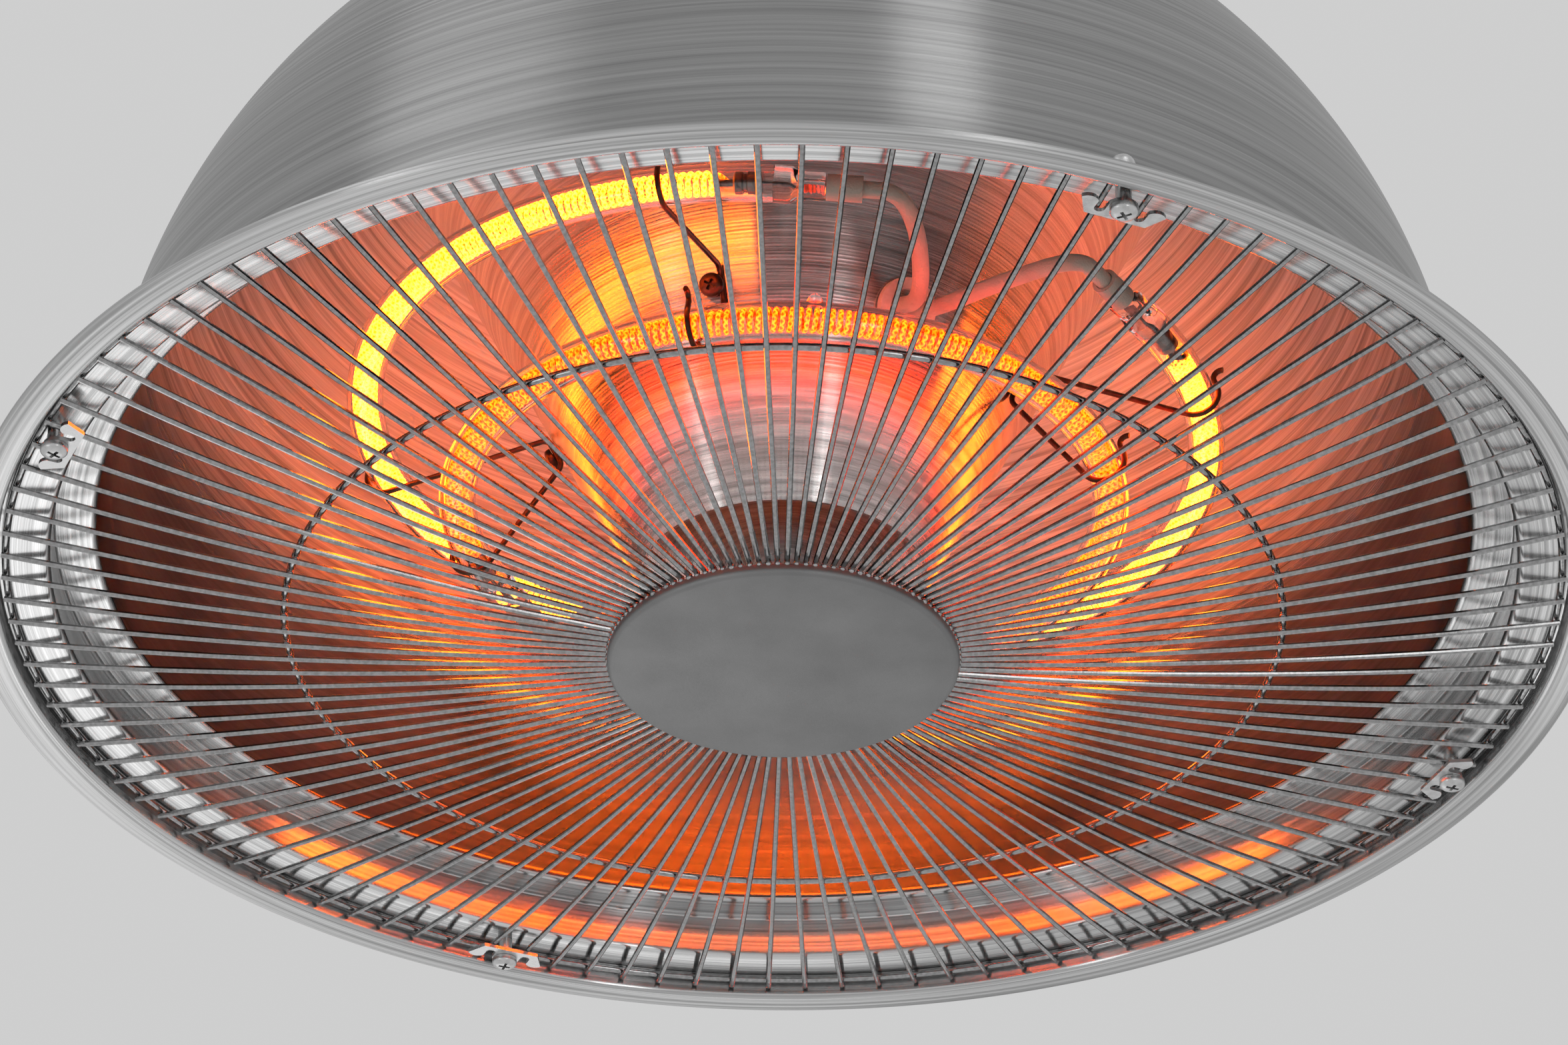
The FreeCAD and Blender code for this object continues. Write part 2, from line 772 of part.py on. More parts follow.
def lamp_seal(lamp, side):
    """The pinched end: a short round stub that narrows to a flat with round edges."""
    half_stub = d.stub_length / 2
    foot = d.seal_end + d.seal_length
    stub_place = along_lamp(lamp, (foot + half_stub).value, side).multiply(
        Placement(Vector(-half_stub.value, 0, 0), AXIS_TO_X))
    stub = cylinder(lamp.name + "_seal_stub", glass_radius, d.stub_length, stub_place)
    half_thickness = d.seal_thickness.value / 2
    half_width = d.seal_width.value / 2
    corner = Vector(half_width - half_thickness, half_thickness, 0)
    flat = pinch_section(d.seal_taper.value, corner.x, corner.y, half_width, half_thickness)
    neck_radius = (glass_radius - d.weld_gap).value
    neck_corner = corner.normalize() * neck_radius
    neck = pinch_section(-d.end_gap.value * 2, neck_corner.x, neck_corner.y, neck_radius, neck_radius)
    taper_part = Part.makeLoft([neck, flat], True)
    flat_part = Part.Face(flat).extrude(Vector((d.seal_length - d.seal_taper).value, 0, 0))
    pinch = solid(lamp.name + "_seal_pinch", taper_part.fuse(flat_part))
    pinch.Placement = along_lamp(lamp, foot.value, side)
    return fuse(lamp.name + "_seal", [stub, pinch])


def lamp_end_block(lamp, side):
    """A turned block with a waist, on the stem that comes out of the seal."""
    start = along_lamp(lamp, (d.block_start + d.block_length).value, side)
    third = d.block_length / 3
    stem_length = d.block_start - glass_start - d.end_gap

    def piece(suffix, diameter, length, distance):
        place = start.multiply(Placement(Vector(distance.value, 0, 0), AXIS_TO_X))
        return cylinder(lamp.name + suffix, diameter / 2, length, place)

    return fuse(lamp.name + "_end_block", [
        piece("_block_back", d.block_diameter, third, ZERO),
        piece("_block_waist", d.block_waist, third, third),
        piece("_block_front", d.block_diameter, third, third * 2),
        piece("_block_stem", d.stem_diameter, stem_length, d.block_length),
    ])


def seal_tip(lamp, side):
    """The end of a seal: a place whose plus X leaves it towards the gap."""
    foot = along_lamp(lamp, (d.seal_end + d.seal_length).value, side)
    return foot.multiply(at(d.seal_length.value, 0, 0))


def end_sleeve(lamp, side):
    place = seal_tip(lamp, side).multiply(Placement(Vector(d.end_gap.value, 0, 0), AXIS_TO_X))
    bore = d.lead_diameter / 2 + d.seat_gap
    return cut(lamp.name + "_sleeve",
               cylinder(lamp.name + "_sleeve_blank", d.sleeve_diameter / 2, d.sleeve_length, place),
               cylinder(lamp.name + "_sleeve_bore", bore, d.sleeve_length, place))


def biarc(start, heading, finish, final):
    """Two tangent arcs from one point and heading to another."""
    span = finish - start
    both = heading + final
    fold = 2 * (1 - heading.dot(final))
    pull = span.dot(both)
    reach = (math.sqrt(pull * pull + fold * span.dot(span)) - pull) / fold
    first_control = start + heading * reach
    last_control = finish - final * reach
    joint = (first_control + last_control) / 2
    edges = []
    for near, control, far in ((start, first_control, joint), (joint, last_control, finish)):
        weight = (far - near).Length / (2 * reach)
        middle = (near + control * (2 * weight) + far) / (2 * (1 + weight))
        edges.append(Part.Arc(near, middle, far).toShape())
    return edges


def lamp_coil(lamp):
    """The wound strand: quarter turns of two arcs each, with tails that run into the end blocks."""
    ring = lamp.radius.value
    mean = d.coil_mean.value / 2
    strand = d.coil_strand.value
    turns = int(lamp.turns.value)
    first = d.coil_start.value / ring
    sweep = 2 * math.pi - 2 * first

    def spot(turn):
        wind = 2 * math.pi * turn
        angle = first + sweep * turn / turns
        reach = ring + mean * math.cos(wind)
        return Vector(reach * math.cos(angle), reach * math.sin(angle), mean * math.sin(wind))

    def heading(turn):
        step = 1e-4
        return (spot(turn + step) - spot(turn - step)).normalize()

    quarters = [index / 4 for index in range(4 * turns + 1)]
    edges = []
    for here, after in zip(quarters, quarters[1:]):
        edges += biarc(spot(here), heading(here), spot(after), heading(after))
    tail = (d.block_start + d.block_length + d.end_gap).value / ring
    begin, end = [Vector(math.cos(angle), math.sin(angle), 0) for angle in (tail, -tail)]
    edges = biarc(begin * ring, Vector(-begin.y, begin.x, 0), spot(0), heading(0)) + edges
    edges += biarc(spot(turns), heading(turns), end * ring, Vector(-end.y, end.x, 0))
    per_turn = 24
    samples = [spot(index / per_turn) for index in range(per_turn * turns + 1)]
    least = min((samples[index] - other).Length
                for index in range(0, len(samples) - per_turn, per_turn)
                for other in samples[index + per_turn // 2:index + 2 * per_turn])
    print(lamp.name, "coil: least gap to itself %.2f mm" % (least - strand))
    return solid(lamp.name + "_coil", tube_along(edges, strand))


lamps = [
    SimpleNamespace(name="outer_lamp", radius=d.outer_lamp_radius, level=d.outer_lamp_level,
                    tilt=d.outer_lamp_tilt, gap=d.outer_lamp_gap, turns=d.outer_lamp_turns, tip=None),
    SimpleNamespace(name="inner_lamp", radius=d.inner_lamp_radius, level=d.inner_lamp_level,
                    tilt=ZERO, gap=d.inner_lamp_gap, turns=d.inner_lamp_turns, tip=d.tip_azimuth),
]
for lamp in lamps:
    frame = lamp_frame(lamp)
    pieces = {
        "tube": lamp_tube(lamp),
        "coil": lamp_coil(lamp),
        "seals": compound(lamp.name + "_seals", [lamp_seal(lamp, side) for side in (-1, 1)]),
        "end_blocks": compound(lamp.name + "_end_blocks", [lamp_end_block(lamp, side) for side in (-1, 1)]),
        "end_sleeves": compound(lamp.name + "_end_sleeves", [end_sleeve(lamp, side) for side in (-1, 1)]),
    }
    for suffix, piece in pieces.items():
        piece.Placement = frame.multiply(piece.Placement)
        keep(lamp.name + "_" + suffix, piece)

# Leads: from each seal through its bush in the cone, then up inside it to the terminal block

terminal_level = d.dome_centre + dome_radius + d.weld_gap
terminal_place = outward(d.wire_hole_circle.value, d.wire_hole_azimuth.value, terminal_level.value)
bush_places = [on_cone(d.bush_circle.value, azimuth) for azimuth in bush_azimuths]
bush_length = d.bush_collar + d.bush_inside + d.weld_gap
bushes = []
for place in bush_places:
    sunk = place.multiply(Placement(Vector(-d.bush_inside.value, 0, 0), AXIS_TO_X))
    proud = place.multiply(Placement(Vector(d.weld_gap.value, 0, 0), AXIS_TO_X))
    blank = fuse("bush_blank", [
        cylinder("bush_neck", bush_outer, bush_length, sunk),
        cylinder("bush_collar", bush_outer + d.bush_wall, d.bush_collar, proud),
    ])
    bushes.append(cut("bush", blank, cylinder("bush_bore", d.bush_bore / 2, bush_length, sunk)))
keep("lead_bushes", compound("lead_bushes", bushes))

# Each lead runs straight out of its seal for a share of the way to the gap. It bends at a point turned by
# some degrees from the gap, and by shares of the way in and up from the lamp to the bush.
LEADS = {
    "outer_lamp_lead_a": SimpleNamespace(lamp=0, side=-1, run=0.42, turn=-7.00, inward=0.32, upward=0.30),
    "outer_lamp_lead_b": SimpleNamespace(lamp=0, side=1, run=0.48, turn=9.75, inward=0.44, upward=-0.23),
    "inner_lamp_lead_a": SimpleNamespace(lamp=1, side=-1, run=0.50, turn=-7.75, inward=0.16, upward=0.35),
    "inner_lamp_lead_b": SimpleNamespace(lamp=1, side=1, run=0.50, turn=11.25, inward=0.16, upward=0.35),
}
GATHER_TURN = 0.39
GATHER_RISE = 0.37


def lead_points(lead):
    lamp = lamps[lead.lamp]
    bush = bush_places[lead.lamp]
    half_pitch = (d.lead_diameter + d.lead_gap).value / 2
    leaves = lamp_frame(lamp).multiply(seal_tip(lamp, lead.side))
    points = [leaves.multVec(Vector(run.value, 0, 0)) for run in (d.end_gap, d.seal_end * lead.run)]
    bend_circle = lamp.radius + (d.bush_circle - lamp.radius) * lead.inward
    bend_level = lamp.level.value + (bush.Base.z - lamp.level.value) * lead.upward
    points.append(polar(bend_circle.value, lamp.gap.value + lead.turn, bend_level))
    points += [bush.multVec(Vector(depth, lead.side * half_pitch, 0))
               for depth in (d.lead_before_bush.value, -d.lead_past_bush.value)]
    turn = d.wire_hole_azimuth.value - bush_azimuths[lead.lamp]
    travel = math.copysign(1, turn)
    across = lead.side * travel * d.lead_spacing.value / 2
    gather_level = bush.Base.z + (terminal_level.value - bush.Base.z) * GATHER_RISE
    points.append(polar(d.lead_gather_circle.value + across, bush_azimuths[lead.lamp] + turn * GATHER_TURN,
                        gather_level))
    points += [terminal_place.multVec(Vector(across, -travel * half_pitch, -drop.value))
               for drop in (d.lead_landing, d.weld_gap)]
    return points


for name, lead in LEADS.items():
    path = rounded_run(lead_points(lead), d.lead_bend.value)
    keep(name, solid(name, tube_along(path, d.lead_diameter.value)))

# Lamp clips: one sprung wire each, a cradle at either end, held under a screw on the cone

clip_wire = d.lamp_clip_wire.value
cradle_reach = glass_radius.value + clip_wire / 2 + d.lamp_clip_grip_gap.value
GRIP_END = math.radians(20)
CURL_TURN = math.radians(120)


def lamp_spot(lamp, azimuth):
    """Radius and height of the lamp's centre line, as one complex number."""
    direction = math.radians(azimuth - 90)
    tilt = math.radians(lamp.tilt.value)
    reach = lamp.radius.value / math.hypot(math.cos(direction) / math.cos(tilt), math.sin(direction))
    return complex(reach, lamp.level.value - reach * math.cos(direction) * math.tan(tilt))


def turned_by(angle):
    return complex(math.cos(angle), math.sin(angle))


def cradle(corner, centre):
    """Where the wire first touches round the tube, and the point triples of its grip, tail and curl."""
    towards = centre - corner
    distance = abs(towards)
    heading = towards / distance * turned_by(-math.asin(cradle_reach / distance))
    touch = corner + heading * math.sqrt(distance ** 2 - cradle_reach ** 2)
    away = touch - centre
    begin = math.atan2(away.imag, away.real)
    middle = centre + cradle_reach * turned_by((begin + GRIP_END) / 2)
    end = centre + cradle_reach * turned_by(GRIP_END)
    onward = 1j * turned_by(GRIP_END)
    tail = end + onward * d.lamp_clip_tail.value
    hub = tail - 1j * onward * d.lamp_clip_curl.value
    curl = [hub + (tail - hub) * turned_by(-CURL_TURN * share) for share in (0.5, 1)]
    return touch, [(touch, middle, end), (end, tail), (tail, *curl)]


def clip_edges(azimuth):
    angle = math.radians(d.cone_angle.value)
    place = on_cone(d.lamp_clip_circle.value, azimuth)
    leaves = complex(math.cos(angle), -math.sin(angle))
    runs_up = complex(math.sin(angle), math.cos(angle))
    sideways = place.Rotation.multVec(Vector(0, (d.lamp_screw.value + clip_wire) / 2 + d.weld_gap.value, 0))
    under_head = complex(d.lamp_clip_circle.value, place.Base.z) + leaves * (clip_wire / 2 + d.weld_gap.value)
    half_run = runs_up * d.lamp_clip_half_run.value
    corners = [under_head + half_run, under_head - half_run]
    ends = [cradle(corner, lamp_spot(lamp, azimuth)) for corner, lamp in zip(corners, lamps)]

    def lift(flat):
        return polar(flat.real, azimuth, flat.imag) + sideways

    def edge(points):
        points = [lift(point) for point in points]
        curve = Part.Arc(*points) if len(points) == 3 else Part.LineSegment(*points)
        return curve.toShape()

    outer_part = [edge(points[::-1]) for points in ends[0][1][::-1]]
    inner_part = [edge(points) for points in ends[1][1]]
    run = [lift(point) for point in (ends[0][0], corners[0], corners[1], ends[1][0])]
    return outer_part + rounded_run(run, d.lamp_clip_bend.value) + inner_part


screw_places = []
nut_places = []
head_level = clip_wire + 2 * d.weld_gap.value
nut_level = -d.cone_sheet.value - d.weld_gap.value - d.lamp_nut_height.value
for index, azimuth in enumerate(lamp_clip_azimuths, start=1):
    name = "lamp_clip_%d" % index
    keep(name, solid(name, tube_along(clip_edges(azimuth), clip_wire)))
    place = on_cone(d.lamp_clip_circle.value, azimuth)
    screw_places.append(place.multiply(Placement(Vector(head_level, 0, 0), Rotation(Vector(0, 1, 0), -90))))
    nut_places.append(place.multiply(Placement(Vector(nut_level, 0, 0), AXIS_TO_X)))
lamp_screw = screw("lamp_screw", d.lamp_screw, d.lamp_screw_head, d.lamp_screw_head_height,
                   d.lamp_screw_tail + head_level)
keep("lamp_clip_screws", copies("lamp_clip_screws", lamp_screw, screw_places))
lamp_nut = cut("lamp_nut", hexagon("lamp_nut_blank", d.lamp_nut_flats, d.lamp_nut_height),
               cylinder("lamp_nut_bore", d.lamp_screw / 2 + d.thread_gap, d.lamp_nut_height))
keep("lamp_clip_nuts", copies("lamp_clip_nuts", lamp_nut, nut_places))

# Top cap over the dome's crown

cap_inside = d.cap_radius - d.cap_sheet
cap_foot = dome_height(cap_inside, dome_radius) + d.weld_gap
cap_top = cap_foot + d.cap_height
cap_flat = d.cap_radius - d.cap_bend
cap_shoulder = cap_top - d.cap_bend
cap_blank = spun("cap_blank", [
    (d.cap_radius, cap_foot),
    (d.cap_radius, cap_shoulder, d.cap_bend),
    (cap_flat, cap_top),
    (rod_hole, cap_top),
    (rod_hole, cap_top - d.cap_sheet),
    (cap_flat, cap_top - d.cap_sheet, d.cap_sheet - d.cap_bend),
    (cap_inside, cap_shoulder),
    (cap_inside, cap_foot),
])
AXIS_TO_Y = Rotation(Vector(1, 0, 0), -90)
gland_height = (cap_foot + d.gland_level).value


def on_gland(distance):
    return Placement(Vector(0, as_size(distance).value, gland_height), AXIS_TO_Y)


gland_hole = cylinder("gland_hole", d.gland_thread / 2 + d.rod_clearance, d.cap_radius,
                      on_gland(d.cap_radius / 2))
keep("top_cap", cut("top_cap", cap_blank, gland_hole))

# Cable gland in the cap's side, pointing to the back

gland_face = d.cap_radius + d.weld_gap
gland_tail = gland_face - d.gland_thread_length
spigot_radius = d.gland_body_bore / 2 + d.gland_spigot_wall
gland_mouth = gland_face + d.gland_collar
gland_blank = fuse("gland_blank", [
    cylinder("gland_thread", d.gland_thread / 2, d.gland_thread_length, on_gland(gland_tail)),
    hexagon("gland_collar", d.gland_flats, d.gland_collar, on_gland(gland_face)),
    cylinder("gland_spigot", spigot_radius, d.gland_spigot_length, on_gland(gland_mouth)),
])
gland_length = d.gland_thread_length + d.gland_collar + d.gland_spigot_length
keep("cable_gland_body", cut("cable_gland_body", gland_blank, cylinder(
    "gland_body_bore", d.gland_body_bore / 2, gland_length, on_gland(gland_tail))))
nut_foot = gland_mouth + d.weld_gap
nut_socket = d.gland_spigot_length + d.weld_gap
gland_nut_blank = fuse("gland_nut_blank", [
    hexagon("gland_nut_hex", d.gland_flats, d.gland_nut_hex, on_gland(nut_foot)),
    taper("gland_nut_nose", d.gland_flats / 2, d.gland_nut_mouth / 2, d.gland_nut_length - d.gland_nut_hex,
          on_gland(nut_foot + d.gland_nut_hex)),
])
gland_nut_bores = fuse("gland_nut_bores", [
    cylinder("gland_nut_socket", spigot_radius + d.thread_gap, nut_socket, on_gland(nut_foot)),
    cylinder("gland_nut_bore", d.gland_bore / 2, d.gland_nut_length, on_gland(nut_foot)),
])
keep("cable_gland_nut", cut("cable_gland_nut", gland_nut_blank, gland_nut_bores))
lock_corner = d.gland_flats / cosine(as_size(30)) / 2
lock_foot = root(cap_inside * cap_inside - lock_corner * lock_corner) - d.seat_gap - d.gland_lock_nut
lock_blank = hexagon("lock_nut_blank", d.gland_flats, d.gland_lock_nut, on_gland(lock_foot))
lock_bore = cylinder("lock_nut_bore", d.gland_thread / 2 + d.thread_gap, d.gland_lock_nut, on_gland(lock_foot))
keep("cable_gland_lock_nut", cut("cable_gland_lock_nut", lock_blank, lock_bore))

# Terminal block inside the cap

corner = at(-d.block_depth.value / 2, -d.block_width.value / 2, 0)
keep("terminal_block", box("terminal_block", d.block_depth, d.block_width, d.block_height,
                           terminal_place.multiply(corner)))
terminal_screw = cylinder("terminal_screw", d.terminal_screw / 2, d.terminal_screw_head)
screw_rows = [at(row * d.block_depth.value / 4, column * d.block_width.value / 3, d.block_height.value)
              for row in (-1, 1) for column in (-1, 0, 1)]
keep("terminal_screws", copies("terminal_screws", terminal_screw,
                               [terminal_place.multiply(place) for place in screw_rows]))

# Rod through the plate, the dome and the cap, with its nuts and washers

crown_top = d.dome_centre + dome_radius
hub_washer = d.plate_level - d.washer_sheet
hub_nut = hub_washer - d.nut_height
eye_foot = cap_top + d.washer_sheet
rod_foot = hub_nut - d.rod_tail
rod_length = eye_foot + d.eye_thread_depth - d.thread_end - rod_foot
keep("hanger_rod", cylinder("hanger_rod", d.rod_diameter / 2, rod_length, up(rod_foot)))
thread_hole = d.rod_diameter / 2 + d.thread_gap
rod_nut = cut("rod_nut", hexagon("rod_nut_blank", d.nut_flats, d.nut_height),
              cylinder("rod_nut_bore", thread_hole, d.nut_height))
keep("rod_nuts", copies("rod_nuts", rod_nut, [up(hub_nut), up(crown_top + d.washer_sheet)]))
rod_washer = cut("rod_washer", cylinder("rod_washer_blank", d.washer_diameter / 2, d.washer_sheet),
                 cylinder("rod_washer_bore", rod_hole, d.washer_sheet))
keep("rod_washers", copies("rod_washers", rod_washer, [up(hub_washer), up(crown_top), up(cap_top)]))

# Hanging eye, and the ring whose straight bar turns in it

pivot_level = eye_foot + d.eye_height + d.eye_rise
tongue_half = d.eye_tongue / 2
tongue_place = Placement(Vector(0, -tongue_half.value, pivot_level.value), AXIS_TO_Y)
eye_blank = fuse("eye_blank", [
    cylinder("eye_base", d.eye_diameter / 2, d.eye_height, up(eye_foot)),
    cylinder("eye_head", d.eye_tongue_radius, d.eye_tongue, tongue_place),
    box("eye_neck", d.eye_tongue_radius * 2, d.eye_tongue, d.eye_rise,
        at(-d.eye_tongue_radius.value, -tongue_half.value, (pivot_level - d.eye_rise).value)),
])
eye_bores = compound("eye_bores", [
    cylinder("eye_bore", d.hang_wire / 2 + d.hang_play, d.eye_tongue, tongue_place),
    cylinder("eye_thread", thread_hole, d.eye_thread_depth, up(eye_foot)),
])
keep("hanging_eye", cut("hanging_eye", eye_blank, eye_bores))


def ring_edges():
    """Round the ring in the YZ plane, from the middle of its straight bar."""
    bow = d.hang_bow.value
    bend = d.hang_corner.value
    straight = bow - bend
    slant = math.sqrt(0.5)

    def spot(y, z):
        return Vector(0, y, z)

    return [
        Part.LineSegment(spot(0, 0), spot(straight, 0)).toShape(),
        Part.Arc(spot(straight, 0), spot(straight + bend * slant, bend - bend * slant),
                 spot(bow, bend)).toShape(),
        Part.Arc(spot(bow, bend), spot(0, bend + bow), spot(-bow, bend)).toShape(),
        Part.Arc(spot(-bow, bend), spot(-straight - bend * slant, bend - bend * slant),
                 spot(-straight, 0)).toShape(),
        Part.LineSegment(spot(-straight, 0), spot(0, 0)).toShape(),
    ]


ring = solid("hanging_ring", tube_along(ring_edges(), d.hang_wire.value))
ring.Placement = up(pivot_level)
keep("hanging_ring", ring)

# Lower everything so that the hook bears at the origin, check it and write it out

hook_level = pivot_level + d.hang_corner + d.hang_bow - d.hang_wire / 2
doc.recompute()
lowered = up(-hook_level)
for piece in NODES.values():
    piece.Placement = lowered.multiply(piece.Placement)
doc.recompute()
for item in doc.Objects:
    if "Invalid" in item.State or "Error" in item.State:
        raise RuntimeError("not built: " + item.Name)
os.makedirs("parts", exist_ok=True)
for label, piece in NODES.items():
    if piece.Shape.isNull() or not piece.Shape.isValid() or not piece.Shape.Solids:
        raise RuntimeError("not a sound solid: " + label)
    piece.Shape.exportStep("parts/" + label + ".step")
    print(label, len(piece.Shape.Solids), "solids, %.1f mm3" % piece.Shape.Volume)
print("rim below hook %.2f mm, pivot below hook %.2f mm" % (hook_level.value, (hook_level - pivot_level).value))
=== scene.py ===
import json
import math
import random

import bmesh
import bpy
from mathutils import Matrix, Vector


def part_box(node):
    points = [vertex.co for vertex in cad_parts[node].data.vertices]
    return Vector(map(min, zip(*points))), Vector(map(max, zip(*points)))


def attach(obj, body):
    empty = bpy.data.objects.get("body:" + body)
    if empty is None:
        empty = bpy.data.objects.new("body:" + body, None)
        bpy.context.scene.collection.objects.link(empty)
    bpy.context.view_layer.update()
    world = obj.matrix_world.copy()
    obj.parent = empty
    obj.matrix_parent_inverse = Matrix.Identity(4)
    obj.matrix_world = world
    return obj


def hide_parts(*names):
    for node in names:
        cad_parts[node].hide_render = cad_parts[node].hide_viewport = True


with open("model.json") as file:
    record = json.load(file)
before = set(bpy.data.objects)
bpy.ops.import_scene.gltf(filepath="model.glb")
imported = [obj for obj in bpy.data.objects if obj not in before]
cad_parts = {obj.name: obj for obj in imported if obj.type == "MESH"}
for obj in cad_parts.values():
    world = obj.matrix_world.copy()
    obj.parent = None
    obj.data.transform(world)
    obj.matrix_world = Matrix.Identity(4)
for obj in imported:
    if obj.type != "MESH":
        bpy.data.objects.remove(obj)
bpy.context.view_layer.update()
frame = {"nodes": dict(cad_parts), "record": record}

random.seed(11)

# Sizes are in millimetres. Heights start at the underside of the rim, azimuths at the front (minus Y).
MM = 0.001
RIM_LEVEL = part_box("dome_shade")[0].z

# Shade. Its rim is a hair under the 212.5 of the CAD, so that it stays inside the box of the CAD's facets.
RIM_RADIUS = 212.43
HEM = 1.0
FLANGE_INNER = 203.7
STEP_HEIGHT = 5.8
SKIRT_RADIUS = 191.0
SHOULDER_LEVEL = 18.0
DOME_RADIUS = 180.0
DOME_CENTRE = 25.5
SHEET = 1.0
TIGHT_BEND = 0.6
WIDE_BEND = TIGHT_BEND + SHEET
ROD_HOLE = 4.2

# Inside, the dome is polished up to the first of these heights and brushed from the second
POLISHED_TO = 66.0
BRUSHED_FROM = 96.0

# Reflector cone
HUB_RADIUS = 37.6
HUB_LEVEL = 12.5
CONE_SLOPE = math.tan(math.radians(26.3))
CONE_SHEET = 0.9
CONE_LIP = 0.5
GROOVES_FROM = 44.0
GROOVE_PITCH = 0.95
GROOVE_DEPTH = 0.03

# Guard
SPOKES = 120
SPOKE_AZIMUTH = 1.08
SPOKE_WIRE = 1.5
SPOKE_INNER = (44.9, -11.2)
SPOKE_OUTER = (202.4, 2.8)
SPOKE_SAG = 2.1
RING_WIRE = 2.0
OUTER_RING = 201.4
MIDDLE_RING = 129.3
WELD_GAP = 0.1
DISC_RADIUS = 45.7
DISC_LEVEL = -14.9
DISC_SHEET = 0.8
DISC_BEND = 1.6
DISC_EDGE = 0.3

# Weld beads: the radius of their circle, their size and how far they sit above the spoke's centre line, then
# the angles of the points of a bead's outline
BEADS = ((DISC_RADIUS - DISC_SHEET / 2, 0.95, -0.6), (MIDDLE_RING, 0.8, 0.8))
BEAD_ANGLES = (-1.45, -0.9, -0.3, 0.3, 0.9, 1.45)

# Lamps. Lengths along a tube start at the middle of the gap between its ends.
GLASS_RADIUS = 4.9
GLASS_WALL = 0.95
SEAL_END = 44.0
SEAL_LENGTH = 9.0
SEAL_HALF_THICKNESS = 1.6
SEAL_HALF_WIDTH = 4.7
SEAL_SQUARENESS = 0.35
FOIL_ENDS = (2.5, 6.5)
FOIL_HALF_WIDTH = 1.6
FOIL_HALF_THICKNESS = 0.06
FOIL_WIRE = 0.9
STUB_LENGTH = 4.0
BLOCK_START = 60.0
BLOCK_LENGTH = 7.0
BLOCK_TAIL = 1.8
END_GAP = 0.2
COIL_START = 72.0
COIL_MEAN = 2.7
COIL_STRAND = 1.3
COIL_PITCH = 2.0
LEAD_DIAMETER = 4.4

# The tip where the inner lamp's tube was closed
TIP_AZIMUTH = 5.0
TIP_DIAMETER = 5.0
TIP_HEIGHT = 3.4
TIP_SINK = 0.5

# A strand is dark up to the first of these lengths from its ends and hot from the second. The side that faces
# into the winding keeps this share of the glow.
DARK_TO = 6.0
HOT_FROM = 30.0
INNER_GLOW = 0.12

# Turned pieces keep a hole of this radius at their axis
AXIS_HOLE = 0.05

# Camera, fitted to the photograph: an image 2352 pixels wide
CAMERA_PLACE = (0.0, -1289.1, -816.9)
CAMERA_PITCH = 0.5814
CAMERA_ROLL = 0.005
CAMERA_FOCAL_PIXELS = 8806.7
IMAGE_WIDTH = 2352
SENSOR_WIDTH = 36.0

# Studio, in metres. The paleness is what the floor adds for the camera, for reflections and through glass.
HANGING_HEIGHT = 4.5
FLOOR_HALF_SIZE = 60.0
FLOOR_PALENESS = 0.32
LOW_SKY = 0.40
HIGH_SKY = 0.62
SKY_BLEND = 0.3

# Soft boxes, all turned to the middle of the rim: place, size and power in watts
SOFTBOXES = {
    "above_right": ((0.62, -1.28, 1.14), (0.35, 0.6), 1.6),
    "above_left": ((-1.6, -1.2, 1.2), (1.2, 1.2), 4),
    "beside_left": ((-1.37, -1.07, -1.24), (0.25, 0.8), 1.6),
    "beside_right": ((0.76, -1.56, -1.24), (0.25, 0.8), 1.6),
    "behind_left": ((-0.45, 1.9, -1.45), (1.0, 0.4), 1.4),
}


# Geometry helpers

def to_row(point):
    """From millimetres above the rim to metres in the shared frame."""
    return Vector((point[0] * MM, point[1] * MM, RIM_LEVEL + point[2] * MM))


def polar(radius, azimuth, height):
    angle = math.radians(azimuth)
    return Vector((radius * math.sin(angle), -radius * math.cos(angle), height))


def add_piece(name, verts, faces, slot, replaces=(), uvs=None, sharp=35, material=None):
    """A mesh piece from points in millimetres, riding on the heater and standing for CAD nodes."""
    mesh = bpy.data.meshes.new(name)
    mesh.from_pydata([to_row(vert) for vert in verts], [], faces)
    if uvs:
        layer = mesh.uv_layers.new(name="along")
        for loop in mesh.loops:
            layer.data[loop.index].uv = uvs[loop.vertex_index]
    mesh.polygons.foreach_set("use_smooth", [True] * len(mesh.polygons))
    mesh.set_sharp_from_angle(angle=math.radians(sharp))
    mesh.materials.append(material or MATERIALS[slot])
    piece = bpy.data.objects.new(name, mesh)
    bpy.context.scene.collection.objects.link(piece)
    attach(piece, "heater")
    if replaces:
        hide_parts(*replaces)
    return piece


def round_corners(corners, steps=5):
    """Points of an outline whose corners (x, y, radius) are rounded."""
    points = []
    count = len(corners)
    for index, (x, y, radius) in enumerate(corners):
        here = Vector((x, y))
        if not radius:
            points.append(here)
            continue
        before = (Vector(corners[index - 1][:2]) - here).normalized()
        after = (Vector(corners[(index + 1) % count][:2]) - here).normalized()
        half = before.angle(after) / 2
        middle = (before + after).normalized()
        centre = here + middle * (radius / math.sin(half))
        start = here + before * (radius / math.tan(half)) - centre
        finish = here + after * (radius / math.tan(half)) - centre
        for step in range(steps + 1):
            share = step / steps
            spoke = start.normalized().slerp(finish.normalized(), share)
            points.append(centre + spoke * radius)
    return points


def lathe(outline, segments, closed=True):
    """Verts and faces of an outline of (radius, height) turned about the axis."""
    verts = []
    faces = []
    rows = len(outline)
    for segment in range(segments):
        angle = 2 * math.pi * segment / segments
        for radius, height in outline:
            verts.append((radius * math.cos(angle), radius * math.sin(angle), height))
    for segment in range(segments):
        here = segment * rows
        after = (segment + 1) % segments * rows
        for row in range(rows if closed else rows - 1):
            up = (row + 1) % rows
            faces.append((here + row, after + row, after + up, here + up))
    return verts, faces


